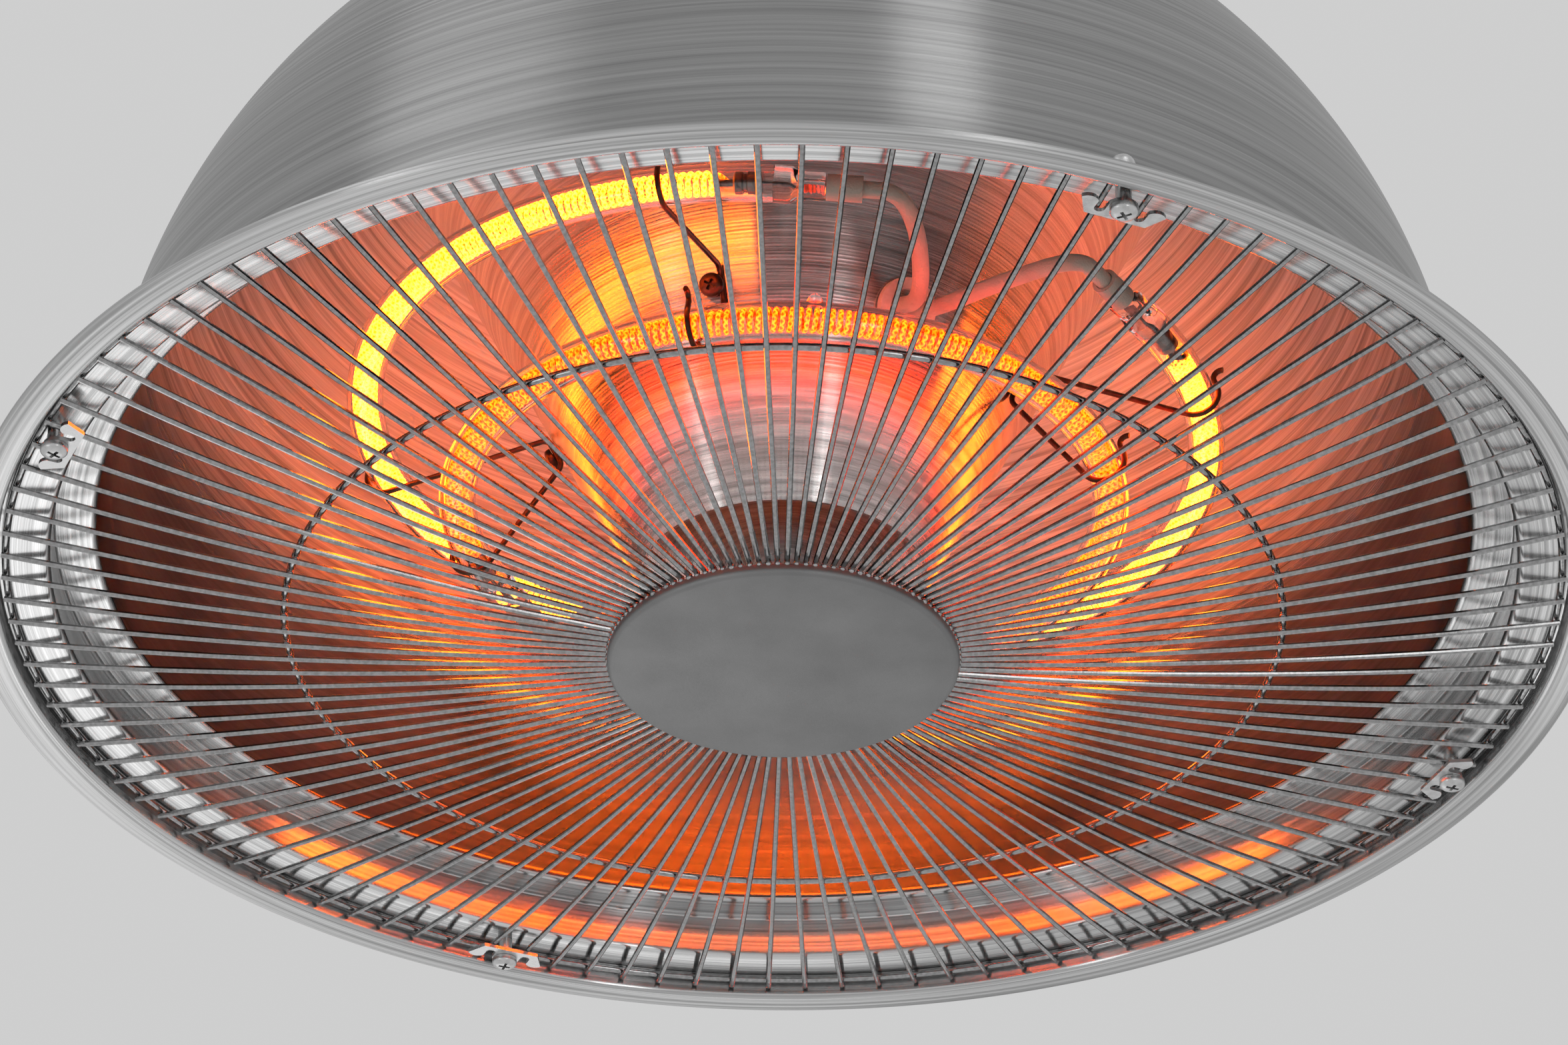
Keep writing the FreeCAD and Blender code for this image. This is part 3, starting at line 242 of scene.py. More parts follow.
def tube(points, radius, sides):
    """Verts, faces and (length, turn) coordinates of a round tube along points."""
    count = len(points)
    verts = []
    uvs = []
    faces = []
    length = 0.0
    normal = None
    for index, point in enumerate(points):
        before = points[index - 1] if index else point
        after = points[index + 1] if index < count - 1 else point
        heading = (after - before).normalized()
        if normal is None:
            normal = heading.orthogonal().normalized()
        normal = (normal - heading * normal.dot(heading)).normalized()
        side = heading.cross(normal)
        length += (point - points[index - 1]).length if index else 0.0
        for turn in range(sides):
            angle = 2 * math.pi * turn / sides
            verts.append(point + (normal * math.cos(angle) + side * math.sin(angle)) * radius)
            uvs.append((length, turn / sides))
    for index in range(count - 1):
        here = index * sides
        after = here + sides
        for turn in range(sides):
            beside = (turn + 1) % sides
            faces.append((here + turn, here + beside, after + beside, after + turn))
    faces.append(tuple(reversed(range(sides))))
    faces.append(tuple(range((count - 1) * sides, count * sides)))
    return verts, faces, uvs


def join(parts):
    """Several (verts, faces) or (verts, faces, uvs) as one."""
    verts = []
    faces = []
    uvs = []
    for part in parts:
        first = len(verts)
        verts += list(part[0])
        faces += [tuple(first + corner for corner in face) for face in part[1]]
        uvs += list(part[2]) if len(part) > 2 else [(0, 0)] * len(part[0])
    return verts, faces, uvs


def moved(part, matrix):
    return [matrix @ Vector(vert) for vert in part[0]], *part[1:]


# Material helpers

class Shader:
    """A node material under construction, round one Principled BSDF."""

    def __init__(self, name, **sockets):
        self.material = bpy.data.materials.new(name)
        self.material.use_nodes = True
        self.tree = self.material.node_tree
        self.surface = self.tree.nodes["Principled BSDF"]
        for key, value in sockets.items():
            self.surface.inputs[key.replace("_", " ")].default_value = value

    def node(self, kind, inputs=None, **settings):
        made = self.tree.nodes.new(kind)
        for key, value in settings.items():
            setattr(made, key, value)
        for key, value in (inputs or {}).items():
            self.put(made.inputs[key], value)
        return made

    def put(self, socket, value):
        if isinstance(value, bpy.types.NodeSocket):
            self.tree.links.new(value, socket)
        else:
            socket.default_value = value

    def math(self, operation, first, second=0.0):
        return self.node("ShaderNodeMath", {0: first, 1: second}, operation=operation).outputs[0]

    def drive(self, name, value):
        self.put(self.surface.inputs[name], value)

    def ramp(self, factor, stops):
        """Colours blended by a factor, from (place, colour) stops."""
        made = self.node("ShaderNodeValToRGB", {"Fac": factor})
        elements = made.color_ramp.elements
        for element, (place, colour) in zip(elements, (stops[0], stops[-1])):
            element.position = place
            element.color = colour
        for place, colour in stops[1:-1]:
            elements.new(place).color = colour
        return made.outputs["Color"]

    def spread(self, factor, low, high, start=0.0, end=1.0):
        """A factor from start to end, as a number from low to high."""
        made = self.node("ShaderNodeMapRange", {"Value": factor, "From Min": start, "From Max": end,
                                                "To Min": low, "To Max": high})
        return made.outputs["Result"]

    def noise(self, scale, detail=3.0, vector=None):
        inputs = {"Scale": scale, "Detail": detail}
        inputs["Vector"] = vector or self.node("ShaderNodeTexCoord").outputs["Object"]
        return self.node("ShaderNodeTexNoise", inputs).outputs["Fac"]

    def rings(self, across, around, detail=4.0):
        """Noise in rings about the heater's axis: across per metre, broken up by around."""
        place = self.node("ShaderNodeSeparateXYZ", {0: self.node("ShaderNodeTexCoord").outputs["Object"]})
        x, y, z = place.outputs
        radius = self.math("SQRT", self.math("ADD", self.math("MULTIPLY", x, x), self.math("MULTIPLY", y, y)))
        across_ring = self.math("MULTIPLY", radius, across)
        east = self.math("MULTIPLY", self.math("DIVIDE", x, radius), around)
        north = self.math("MULTIPLY", self.math("DIVIDE", y, radius), around)
        vector = self.node("ShaderNodeCombineXYZ", {0: across_ring, 1: east, 2: north}).outputs[0]
        made = self.node("ShaderNodeTexNoise", {"Vector": vector, "W": self.math("MULTIPLY", z, across),
                                                "Scale": 1.0, "Detail": detail}, noise_dimensions="4D")
        return made.outputs["Fac"]

    def bump(self, height, strength, distance):
        made = self.node("ShaderNodeBump", {"Height": height, "Strength": strength, "Distance": distance})
        self.drive("Normal", made.outputs["Normal"])

    def blend(self, factor, first, second):
        return self.node("ShaderNodeMix", {0: factor, 2: first, 3: second}).outputs[0]

    def blend_colours(self, factor, first, second):
        return self.node("ShaderNodeMix", {0: factor, 6: first, 7: second}, data_type="RGBA").outputs[2]

    def height(self):
        """Metres up the shared frame."""
        place = self.node("ShaderNodeSeparateXYZ", {0: self.node("ShaderNodeTexCoord").outputs["Object"]})
        return place.outputs[2]

    def turned(self):
        """Highlights stretched across the lathe marks, which run round the axis."""
        made = self.node("ShaderNodeTangent", direction_type="RADIAL", axis="Z")
        self.drive("Tangent", made.outputs["Tangent"])
        self.drive("Anisotropic Rotation", 0.25)


def grey(level, warmth=0.0):
    return (level + warmth, level, level - warmth, 1.0)


# Materials

def spun_aluminium():
    """Lathe marks all over. Inside, the wall is polished low down and brushed higher up; low down it is also
    painted dark brown-grey as painted shade, and the outside is painted a darker grey than the inside as
    painted shade.
    """
    shader = Shader("spun_aluminium", Metallic=1.0)
    fine = shader.rings(3200.0, 2.5)
    lines = shader.rings(900.0, 1.2, 2.0)
    both = shader.math("ADD", shader.math("MULTIPLY", fine, 0.4), shader.math("MULTIPLY", lines, 0.6))
    place = shader.node("ShaderNodeTexCoord").outputs["Object"]
    # A face is outside where it looks away from the middle of the rim, a little under the flange's upper side
    centre = (0.0, 0.0, RIM_LEVEL + 0.9 * SHEET * MM)
    out = shader.node("ShaderNodeVectorMath", {0: place, 1: centre}, operation="SUBTRACT")
    true_normal = shader.node("ShaderNodeNewGeometry").outputs["True Normal"]
    normal = shader.node("ShaderNodeVectorTransform", {0: true_normal},
                         vector_type="NORMAL", convert_from="WORLD", convert_to="OBJECT")
    facing = shader.node("ShaderNodeVectorMath", {0: out.outputs[0], 1: normal.outputs[0]},
                         operation="DOT_PRODUCT").outputs["Value"]
    outside = shader.math("GREATER_THAN", facing, 0.0)
    upper = shader.spread(shader.height(), 0.0, 1.0,
                          RIM_LEVEL + POLISHED_TO * MM, RIM_LEVEL + BRUSHED_FROM * MM)
    skirt = shader.math("LESS_THAN", shader.height(), RIM_LEVEL + (SHOULDER_LEVEL + SHEET) * MM)
    above_rim = shader.math("GREATER_THAN", shader.height(), RIM_LEVEL + 1.5 * SHEET * MM)
    # Painted shade: the outside gets a darker grey than the inside and the flange of the same sheet
    painted_shade_outside = shader.ramp(both, [(0.35, grey(0.28)), (0.65, grey(0.46))])
    bright = shader.ramp(both, [(0.38, grey(0.34)), (0.62, grey(0.74))])
    # Painted shade: the inside wall from the shoulder up to the brushed part is painted dark brown-grey
    painted_shade_low_wall = shader.ramp(both, [(0.35, (0.12, 0.11, 0.11, 1)), (0.65, (0.20, 0.18, 0.18, 1))])
    inside = shader.blend_colours(shader.math("MAXIMUM", upper, skirt), painted_shade_low_wall, bright)
    painted_shade_outside_mask = shader.math("MULTIPLY", outside, above_rim)
    shader.drive("Base Color", shader.blend_colours(painted_shade_outside_mask, inside, painted_shade_outside))
    satin = shader.spread(fine, 0.28, 0.40, 0.3, 0.7)
    polished = shader.spread(fine, 0.12, 0.17, 0.3, 0.7)
    smeared = shader.spread(fine, 0.16, 0.22, 0.3, 0.7)
    brushed = shader.spread(fine, 0.42, 0.52, 0.3, 0.7)
    mirror = shader.blend(skirt, shader.blend(upper, polished, brushed), smeared)
    shader.drive("Roughness", shader.blend(outside, mirror, satin))
    shader.drive("Anisotropic", shader.blend(shader.math("MAXIMUM", outside, skirt), 0.3, 1.0))
    depth = shader.blend(outside, shader.spread(upper, 0.01, 0.16), 0.14)
    shader.bump(both, depth, 0.0004)
    shader.turned()
    return shader.material


def reflector_aluminium():
    """Bright turned metal; its grooves are in the mesh."""
    shader = Shader("reflector_aluminium", Metallic=1.0, Anisotropic=0.9)
    fine = shader.rings(3000.0, 3.0)
    lines = shader.rings(620.0, 1.2, 2.0)
    both = shader.math("ADD", shader.math("MULTIPLY", fine, 0.4), shader.math("MULTIPLY", lines, 0.6))
    shader.drive("Base Color", shader.ramp(both, [(0.36, grey(0.36, 0.01)), (0.64, grey(0.80, 0.01))]))
    shader.drive("Roughness", shader.spread(fine, 0.16, 0.26, 0.3, 0.7))
    shader.bump(both, 0.12, 0.0003)
    shader.turned()
    return shader.material


def bright_wire():
    shader = Shader("chromed_wire", Metallic=1.0)
    patches = shader.noise(900.0)
    shader.drive("Base Color", shader.ramp(patches, [(0.35, grey(0.27)), (0.65, grey(0.39))]))
    shader.drive("Roughness", shader.spread(patches, 0.08, 0.16, 0.3, 0.7))
    shader.bump(shader.noise(2500.0), 0.05, 0.0002)
    return shader.material


def satin_steel():
    shader = Shader("satin_steel", Metallic=1.0)
    grain = shader.noise(5200.0, 2.0)
    clouds = shader.noise(40.0, 4.0)
    shader.drive("Base Color", shader.ramp(clouds, [(0.3, grey(0.21)), (0.7, grey(0.26))]))
    shader.drive("Roughness", shader.spread(grain, 0.40, 0.56, 0.3, 0.7))
    shader.bump(grain, 0.18, 0.0002)
    return shader.material


def end_block_steel():
    shader = Shader("metal_end_block", Metallic=1.0)
    stains = shader.noise(420.0, 4.0)
    shader.drive("Base Color", shader.ramp(stains, [(0.35, grey(0.10)), (0.65, grey(0.22, 0.01))]))
    shader.drive("Roughness", shader.spread(stains, 0.28, 0.45, 0.3, 0.7))
    shader.bump(shader.noise(1500.0), 0.1, 0.0002)
    return shader.material


def plated_steel():
    shader = Shader("plated_steel", Metallic=1.0)
    patches = shader.noise(350.0, 5.0)
    shader.drive("Base Color", shader.ramp(patches, [(0.35, grey(0.48)), (0.65, grey(0.66))]))
    shader.drive("Roughness", shader.spread(patches, 0.22, 0.42, 0.3, 0.7))
    shader.bump(shader.noise(1800.0), 0.08, 0.0002)
    return shader.material


def quartz():
    shader = Shader("quartz", Base_Color=(1.0, 0.95, 0.93, 1.0), Transmission_Weight=1.0, IOR=1.42)
    smears = shader.noise(120.0, 3.0)
    shader.drive("Roughness", shader.spread(smears, 0.0, 0.06, 0.45, 0.8))
    return shader.material


def glowing_carbon(name, strand, dark, mid, bright, strength):
    """A braided strand of this length: two sets of slanting yarns, cooler towards both ends."""
    shader = Shader(name, Base_Color=(0.02, 0.012, 0.01, 1.0), Roughness=0.8)
    along = shader.node("ShaderNodeUVMap", uv_map="along").outputs[0]
    length, turn, _ = shader.node("ShaderNodeSeparateXYZ", {0: along}).outputs
    heat = shader.math("MULTIPLY", shader.spread(length, 0.0, 1.0, DARK_TO, HOT_FROM),
                       shader.spread(length, 1.0, 0.0, strand - HOT_FROM, strand - DARK_TO))
    outward = shader.node("ShaderNodeAttribute", attribute_name="outward").outputs["Fac"]
    shown = shader.spread(outward, INNER_GLOW, 1.0, -0.7, 0.7)
    shader.drive("Emission Strength", shader.math("MULTIPLY", heat, shader.math("MULTIPLY", shown, strength)))
    yarns = []
    for slant in (-2.0, 2.0):
        wound = shader.math("MULTIPLY", turn, slant * 2 * math.pi)
        yarns.append(shader.math("SINE", shader.math("ADD", shader.math("MULTIPLY", length, 4.2), wound)))
    braid = shader.spread(shader.math("MAXIMUM", *yarns), 0.0, 1.0, -0.6, 1.0)
    mottle = shader.math("MULTIPLY", braid, shader.spread(shader.noise(700.0), 0.55, 1.35, 0.3, 0.7))
    shader.drive("Emission Color", shader.ramp(mottle, [(0.0, dark), (0.45, mid), (1.0, bright)]))
    shader.bump(braid, 0.5, 0.0004)
    return shader.material


def woven_sleeve():
    shader = Shader("glass_fibre_sleeve", Sheen_Weight=0.25)
    weave = shader.noise(1900.0, 2.0)
    stain = shader.noise(90.0, 4.0)
    stops = [(0.3, (0.58, 0.49, 0.41, 1)), (0.7, (0.76, 0.68, 0.58, 1))]
    shader.drive("Base Color", shader.ramp(stain, stops))
    shader.drive("Roughness", shader.spread(weave, 0.65, 0.9, 0.3, 0.7))
    shader.bump(weave, 0.6, 0.0004)
    return shader.material


def ceramic():
    shader = Shader("white_ceramic")
    specks = shader.noise(800.0, 4.0)
    stops = [(0.3, (0.74, 0.70, 0.62, 1)), (0.7, (0.86, 0.83, 0.77, 1))]
    shader.drive("Base Color", shader.ramp(specks, stops))
    shader.drive("Roughness", shader.spread(specks, 0.45, 0.65, 0.3, 0.7))
    shader.bump(specks, 0.1, 0.0002)
    return shader.material


def browned_steel():
    shader = Shader("heat_browned_steel", Metallic=0.85)
    tint = shader.noise(260.0, 4.0)
    stops = [(0.25, (0.035, 0.015, 0.010, 1)), (0.55, (0.10, 0.045, 0.028, 1)), (0.8, (0.20, 0.11, 0.07, 1))]
    shader.drive("Base Color", shader.ramp(tint, stops))
    shader.drive("Roughness", shader.spread(tint, 0.3, 0.5, 0.3, 0.7))
    shader.bump(shader.noise(2200.0), 0.08, 0.0002)
    return shader.material


def black_nylon():
    shader = Shader("black_nylon")
    grain = shader.noise(1600.0, 3.0)
    shader.drive("Base Color", shader.ramp(grain, [(0.3, grey(0.014)), (0.7, grey(0.032))]))
    shader.drive("Roughness", shader.spread(grain, 0.42, 0.6, 0.3, 0.7))
    shader.bump(grain, 0.15, 0.0002)
    return shader.material


def brass():
    shader = Shader("brass_screw", Metallic=1.0)
    tarnish = shader.noise(500.0, 4.0)
    stops = [(0.3, (0.55, 0.38, 0.14, 1)), (0.7, (0.72, 0.55, 0.25, 1))]
    shader.drive("Base Color", shader.ramp(tarnish, stops))
    shader.drive("Roughness", shader.spread(tarnish, 0.28, 0.45, 0.3, 0.7))
    return shader.material


MATERIALS = {
    "spun_aluminium": spun_aluminium(),
    "reflector_aluminium": reflector_aluminium(),
    "chromed_wire": bright_wire(),
    "satin_steel": satin_steel(),
    "plated_steel": plated_steel(),
    "quartz": quartz(),
    "metal_end_block": end_block_steel(),
    "glass_fibre_sleeve": woven_sleeve(),
    "white_ceramic": ceramic(),
    "heat_browned_steel": browned_steel(),
    "black_nylon": black_nylon(),
    "brass_screw": brass(),
}


def dress_cad_nodes():
    """Every CAD node gets its slot's material; pieces made below hide the nodes they stand for."""
    for entry in frame["record"]["subparts"]:
        slots = frame["nodes"][entry["node"]].data.materials
        slots.clear()
        slots.append(MATERIALS.get(entry["material_slot"], LAMPS[0].heat))


# Shade and reflector

def arc(radius, first_height, last_height, steps):
    """Points of the dome's circle of this radius, from one height to another."""
    first = math.asin((first_height - DOME_CENTRE) / radius)
    last = math.asin((last_height - DOME_CENTRE) / radius)
    points = []
    for step in range(steps + 1):
        angle = first + (last - first) * step / steps
        points.append((radius * math.cos(angle), DOME_CENTRE + radius * math.sin(angle), 0))
    return points


def crown_height(radius):
    return DOME_CENTRE + math.sqrt(radius ** 2 - ROD_HOLE ** 2)


def dome_outline():
    """Rolled hem, flange, ledge, skirt and shoulder, then the dome and the same way back inside."""
    inside = DOME_RADIUS - SHEET
    skirt_inside = SKIRT_RADIUS - SHEET
    ledge_top = STEP_HEIGHT + SHEET
    shoulder_top = SHOULDER_LEVEL + SHEET
    outer = arc(DOME_RADIUS, shoulder_top, crown_height(DOME_RADIUS), steps=110)
    inner = arc(inside, crown_height(inside), SHOULDER_LEVEL, steps=110)
    outer[0] = (*outer[0][:2], TIGHT_BEND)
    inner[-1] = (*inner[-1][:2], WIDE_BEND)
    hem = []
    hem_steps = 12
    for step in range(hem_steps + 1):
        angle = math.radians(-90 + 270 * step / hem_steps)
        hem.append((RIM_RADIUS - HEM + HEM * math.cos(angle), HEM + HEM * math.sin(angle), 0))
    up_outside = [
        (FLANGE_INNER + SHEET, SHEET, TIGHT_BEND),
        (FLANGE_INNER + SHEET, ledge_top, WIDE_BEND),
        (SKIRT_RADIUS, ledge_top, TIGHT_BEND),
        (SKIRT_RADIUS, shoulder_top, WIDE_BEND),
    ]
    down_inside = [
        (skirt_inside, SHOULDER_LEVEL, TIGHT_BEND),
        (skirt_inside, STEP_HEIGHT, WIDE_BEND),
        (FLANGE_INNER, STEP_HEIGHT, TIGHT_BEND),
        (FLANGE_INNER, 0, WIDE_BEND),
    ]
    return round_corners(hem + up_outside + outer + inner + down_inside)


def make_shade():
    add_piece("dome", *lathe(dome_outline(), segments=320), "spun_aluminium", ["dome_shade"])


def cone_radius(level):
    return HUB_RADIUS + (level - HUB_LEVEL) * CONE_SLOPE


def make_cone():
    """A turned cone, smooth below and grooved round and round above."""
    top_level = (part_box("reflector_cone")[1].z - RIM_LEVEL) / MM
    top_radius = cone_radius(top_level)
    corners = [
        (HUB_RADIUS - CONE_SHEET, HUB_LEVEL, CONE_LIP / 2),
        (HUB_RADIUS, HUB_LEVEL, CONE_LIP / 2),
        (cone_radius(GROOVES_FROM), GROOVES_FROM, 0),
    ]
    rise = GROOVE_PITCH * math.cos(math.atan(CONE_SLOPE))
    grooves = int((top_level - GROOVES_FROM) / rise) - 1
    for groove in range(grooves):
        start = GROOVES_FROM + groove * rise
        depth = GROOVE_DEPTH * random.uniform(0.4, 1.2)
        for share, cut in ((0.25, 0.5), (0.5, 1.0), (0.75, 0.5), (1.0, 0.0)):
            level = start + rise * share
            corners.append((cone_radius(level) - depth * cut, level, 0))
    corners += [(top_radius, top_level, 0), (top_radius - CONE_SHEET, top_level, 0)]
    turned = lathe(round_corners(corners), segments=128)
    add_piece("cone", *turned, "reflector_aluminium", ["reflector_cone"])


# Guard

def spoke_curve():
    """Centre line of a spoke as a function of radius."""
    (inner_r, inner_z), (outer_r, outer_z) = SPOKE_INNER, SPOKE_OUTER
    chord = math.hypot(outer_r - inner_r, outer_z - inner_z)
    bend = (chord ** 2 / 4 + SPOKE_SAG ** 2) / (2 * SPOKE_SAG)
    up = Vector((inner_z - outer_z, outer_r - inner_r)) / chord
    centre = Vector((inner_r + outer_r, inner_z + outer_z)) / 2 + up * (bend - SPOKE_SAG)
    return lambda radius: centre.y - math.sqrt(bend ** 2 - (radius - centre.x) ** 2)


spoke_height = spoke_curve()


def make_spokes():
    steps = 20
    parts = []
    for index in range(SPOKES):
        azimuth = SPOKE_AZIMUTH + 360 * index / SPOKES
        points = []
        for step in range(steps + 1):
            radius = SPOKE_INNER[0] + (SPOKE_OUTER[0] - SPOKE_INNER[0]) * step / steps
            points.append(polar(radius, azimuth, spoke_height(radius)))
        parts.append(tube(points, SPOKE_WIRE / 2, sides=10))
    verts, faces, _ = join(parts)
    add_piece("spokes", verts, faces, "chromed_wire", ["guard_spokes"])


def make_ring(name, radius, node):
    height = spoke_height(radius) + (SPOKE_WIRE + RING_WIRE) / 2 + WELD_GAP
    outline = []
    sides = 14
    for side in range(sides):
        angle = 2 * math.pi * side / sides
        outline.append((radius + RING_WIRE / 2 * math.cos(angle), height + RING_WIRE / 2 * math.sin(angle)))
    add_piece(name, *lathe(outline, segments=360), "chromed_wire", [node])


def make_disc():
    wall_top = SPOKE_INNER[1] - SPOKE_WIRE / 2 - WELD_GAP
    middle = 0.02
    corners = [
        (middle, DISC_LEVEL, 0),
        (DISC_RADIUS, DISC_LEVEL, DISC_BEND),
        (DISC_RADIUS, wall_top, DISC_EDGE),
        (DISC_RADIUS - DISC_SHEET, wall_top, DISC_EDGE),
        (DISC_RADIUS - DISC_SHEET, DISC_LEVEL + DISC_SHEET, DISC_BEND - DISC_SHEET),
        (middle, DISC_LEVEL + DISC_SHEET, 0),
    ]
    add_piece("disc", *lathe(round_corners(corners), segments=200), "satin_steel", ["guard_disc"])


def make_weld_beads():
    """A small bead where each spoke meets the disc's wall, and one at the middle ring."""
    parts = []
    for radius, size, lift in BEADS:
        for index in range(SPOKES):
            azimuth = SPOKE_AZIMUTH + 360 * index / SPOKES
            centre = polar(radius, azimuth, spoke_height(radius) + lift)
            bead = size * random.uniform(0.85, 1.1)
            outline = [(bead * math.cos(angle), bead * math.sin(angle)) for angle in BEAD_ANGLES]
            parts.append(moved(lathe(outline, segments=8, closed=False), Matrix.Translation(centre)))
    verts, faces, _ = join(parts)
    add_piece("weld_beads", verts, faces, "chromed_wire", sharp=80)


# Lamps

class Lamp:
    """One ring lamp: its circle, tilt and the azimuth of the gap between its ends."""

    def __init__(self, name, radius, level, tilt, gap, heat, tip=None):
        self.name = name
        self.radius = radius
        self.level = level
        self.gap = gap
        self.tip = tip
        self.turns = round((self.round_trip - 2 * COIL_START) / COIL_PITCH)
        strand = self.turns * math.hypot(2 * math.pi * COIL_MEAN, COIL_PITCH)
        self.heat = glowing_carbon(name + "_heat", strand, *heat)
        self.frame = (Matrix.Translation((0, 0, level)) @ Matrix.Rotation(math.radians(tilt), 4, "Y")
                      @ Matrix.Rotation(math.radians(gap - 90), 4, "Z"))

    def spot(self, distance, out=0.0, rise=0.0):
        """A point by its distance along the tube from the middle of the gap."""
        angle = distance / self.radius
        reach = self.radius + out
        return self.frame @ Vector((reach * math.cos(angle), reach * math.sin(angle), rise))

    def end_frame(self, distance, side):
        """A frame on the tube whose X runs along it towards the gap."""
        angle = side * distance / self.radius
        heading = math.atan2(-side * math.cos(angle), side * math.sin(angle))
        spot = Vector((self.radius * math.cos(angle), self.radius * math.sin(angle), 0))
        return self.frame @ Matrix.Translation(spot) @ Matrix.Rotation(heading, 4, "Z")

    @property
    def round_trip(self):
        return 2 * math.pi * self.radius


# Each heat: the colours of its dark, middling and bright yarns, and the strength of its glow
YELLOW_HEAT = ((1.0, 0.028, 0.0005, 1), (1.0, 0.08, 0.002, 1), (1.0, 0.24, 0.010, 1), 32.0)
ORANGE_HEAT = ((1.0, 0.010, 0.0, 1), (1.0, 0.028, 0.0, 1), (1.0, 0.060, 0.0015, 1), 15.0)
LAMPS = [
    Lamp("outer_lamp", radius=111.7, level=57.8, tilt=3.98, gap=27.75, heat=YELLOW_HEAT),
    Lamp("inner_lamp", radius=85.9, level=34.7, tilt=0.0, gap=207.75, heat=ORANGE_HEAT, tip=TIP_AZIMUTH),
]


def make_glass(lamp):
    """The hollow tube: outside and inside skins joined at both ends."""
    start = SEAL_END + SEAL_LENGTH + STUB_LENGTH
    length = lamp.round_trip - 2 * start
    steps = 200
    sides = 24
    path = [lamp.spot(start + length * step / steps) for step in range(steps + 1)]
    outer = tube(path, GLASS_RADIUS, sides)
    inner = tube(path, GLASS_RADIUS - GLASS_WALL, sides)
    verts, _, _ = join([outer, inner])
    first = len(outer[0])
    faces = outer[1][:-2] + [tuple(first + corner for corner in reversed(face)) for face in inner[1][:-2]]
    for row in (0, steps * sides):
        for turn in range(sides):
            beside = (turn + 1) % sides
            rim = (row + turn, row + beside, first + row + beside, first + row + turn)
            faces.append(rim if row else tuple(reversed(rim)))
    parts = [(verts, faces)]
    if lamp.tip is not None:
        foot = GLASS_RADIUS - TIP_SINK
        outline = [(AXIS_HOLE, foot), (TIP_DIAMETER / 2, foot), (TIP_DIAMETER / 2.4, foot + TIP_HEIGHT * 0.4),
                   (TIP_DIAMETER / 3.2, foot + TIP_HEIGHT * 0.8), (TIP_DIAMETER / 6, foot + TIP_HEIGHT),
                   (AXIS_HOLE, foot + TIP_HEIGHT)]
        spot = polar(lamp.radius, lamp.tip, lamp.level)
        parts.append(moved(lathe(outline, segments=20, closed=False), Matrix.Translation(spot)))
    verts, faces, _ = join(parts)
    add_piece(lamp.name + "_glass", verts, faces, "quartz", [lamp.name + "_tube"])


def make_coil(lamp):
    """The braided strand, wound turn by turn inside the tube."""
    length = lamp.round_trip - 2 * COIL_START
    per_turn = 14
    count = lamp.turns * per_turn
    tail_length = COIL_START - BLOCK_START - BLOCK_LENGTH - END_GAP
    tail_steps = per_turn // 2
    path = []
    middle = []
    for index in range(-tail_steps, count + tail_steps + 1):
        wind = 2 * math.pi * index / per_turn
        past = max(-index, index - count, 0) / tail_steps
        end = math.copysign(past * tail_length, index)
        distance = COIL_START + length * min(max(index, 0), count) / count + end
        mean = COIL_MEAN * (1 - past)
        path.append(lamp.spot(distance, mean * math.cos(wind), mean * math.sin(wind)))
        middle.append(lamp.spot(distance))
    sides = 8
    verts, faces, uvs = tube(path, COIL_STRAND / 2, sides)
    turns = add_piece(lamp.name + "_coil_turns", verts, faces, "glowing_carbon", [lamp.name + "_coil"], uvs,
                      material=lamp.heat)
    outward = turns.data.attributes.new("outward", "FLOAT", "POINT")
    for index, vert in enumerate(verts):
        reach = (Vector(vert) - middle[index // sides]).length
        outward.data[index].value = (reach - COIL_MEAN) / (COIL_STRAND / 2)


def flat_section(share, sides):
    """A seal's cross-section, from round at 0 to a flat with rounded edges at 1."""
    points = []
    for turn in range(sides):
        angle = 2 * math.pi * turn / sides
        c, s = math.cos(angle), math.sin(angle)
        flat = Vector((math.copysign(abs(c) ** SEAL_SQUARENESS, c) * SEAL_HALF_WIDTH,
                       math.copysign(abs(s) ** SEAL_SQUARENESS, s) * SEAL_HALF_THICKNESS))
        points.append(Vector((c, s)).lerp(flat / GLASS_RADIUS, share) * GLASS_RADIUS)
    return points


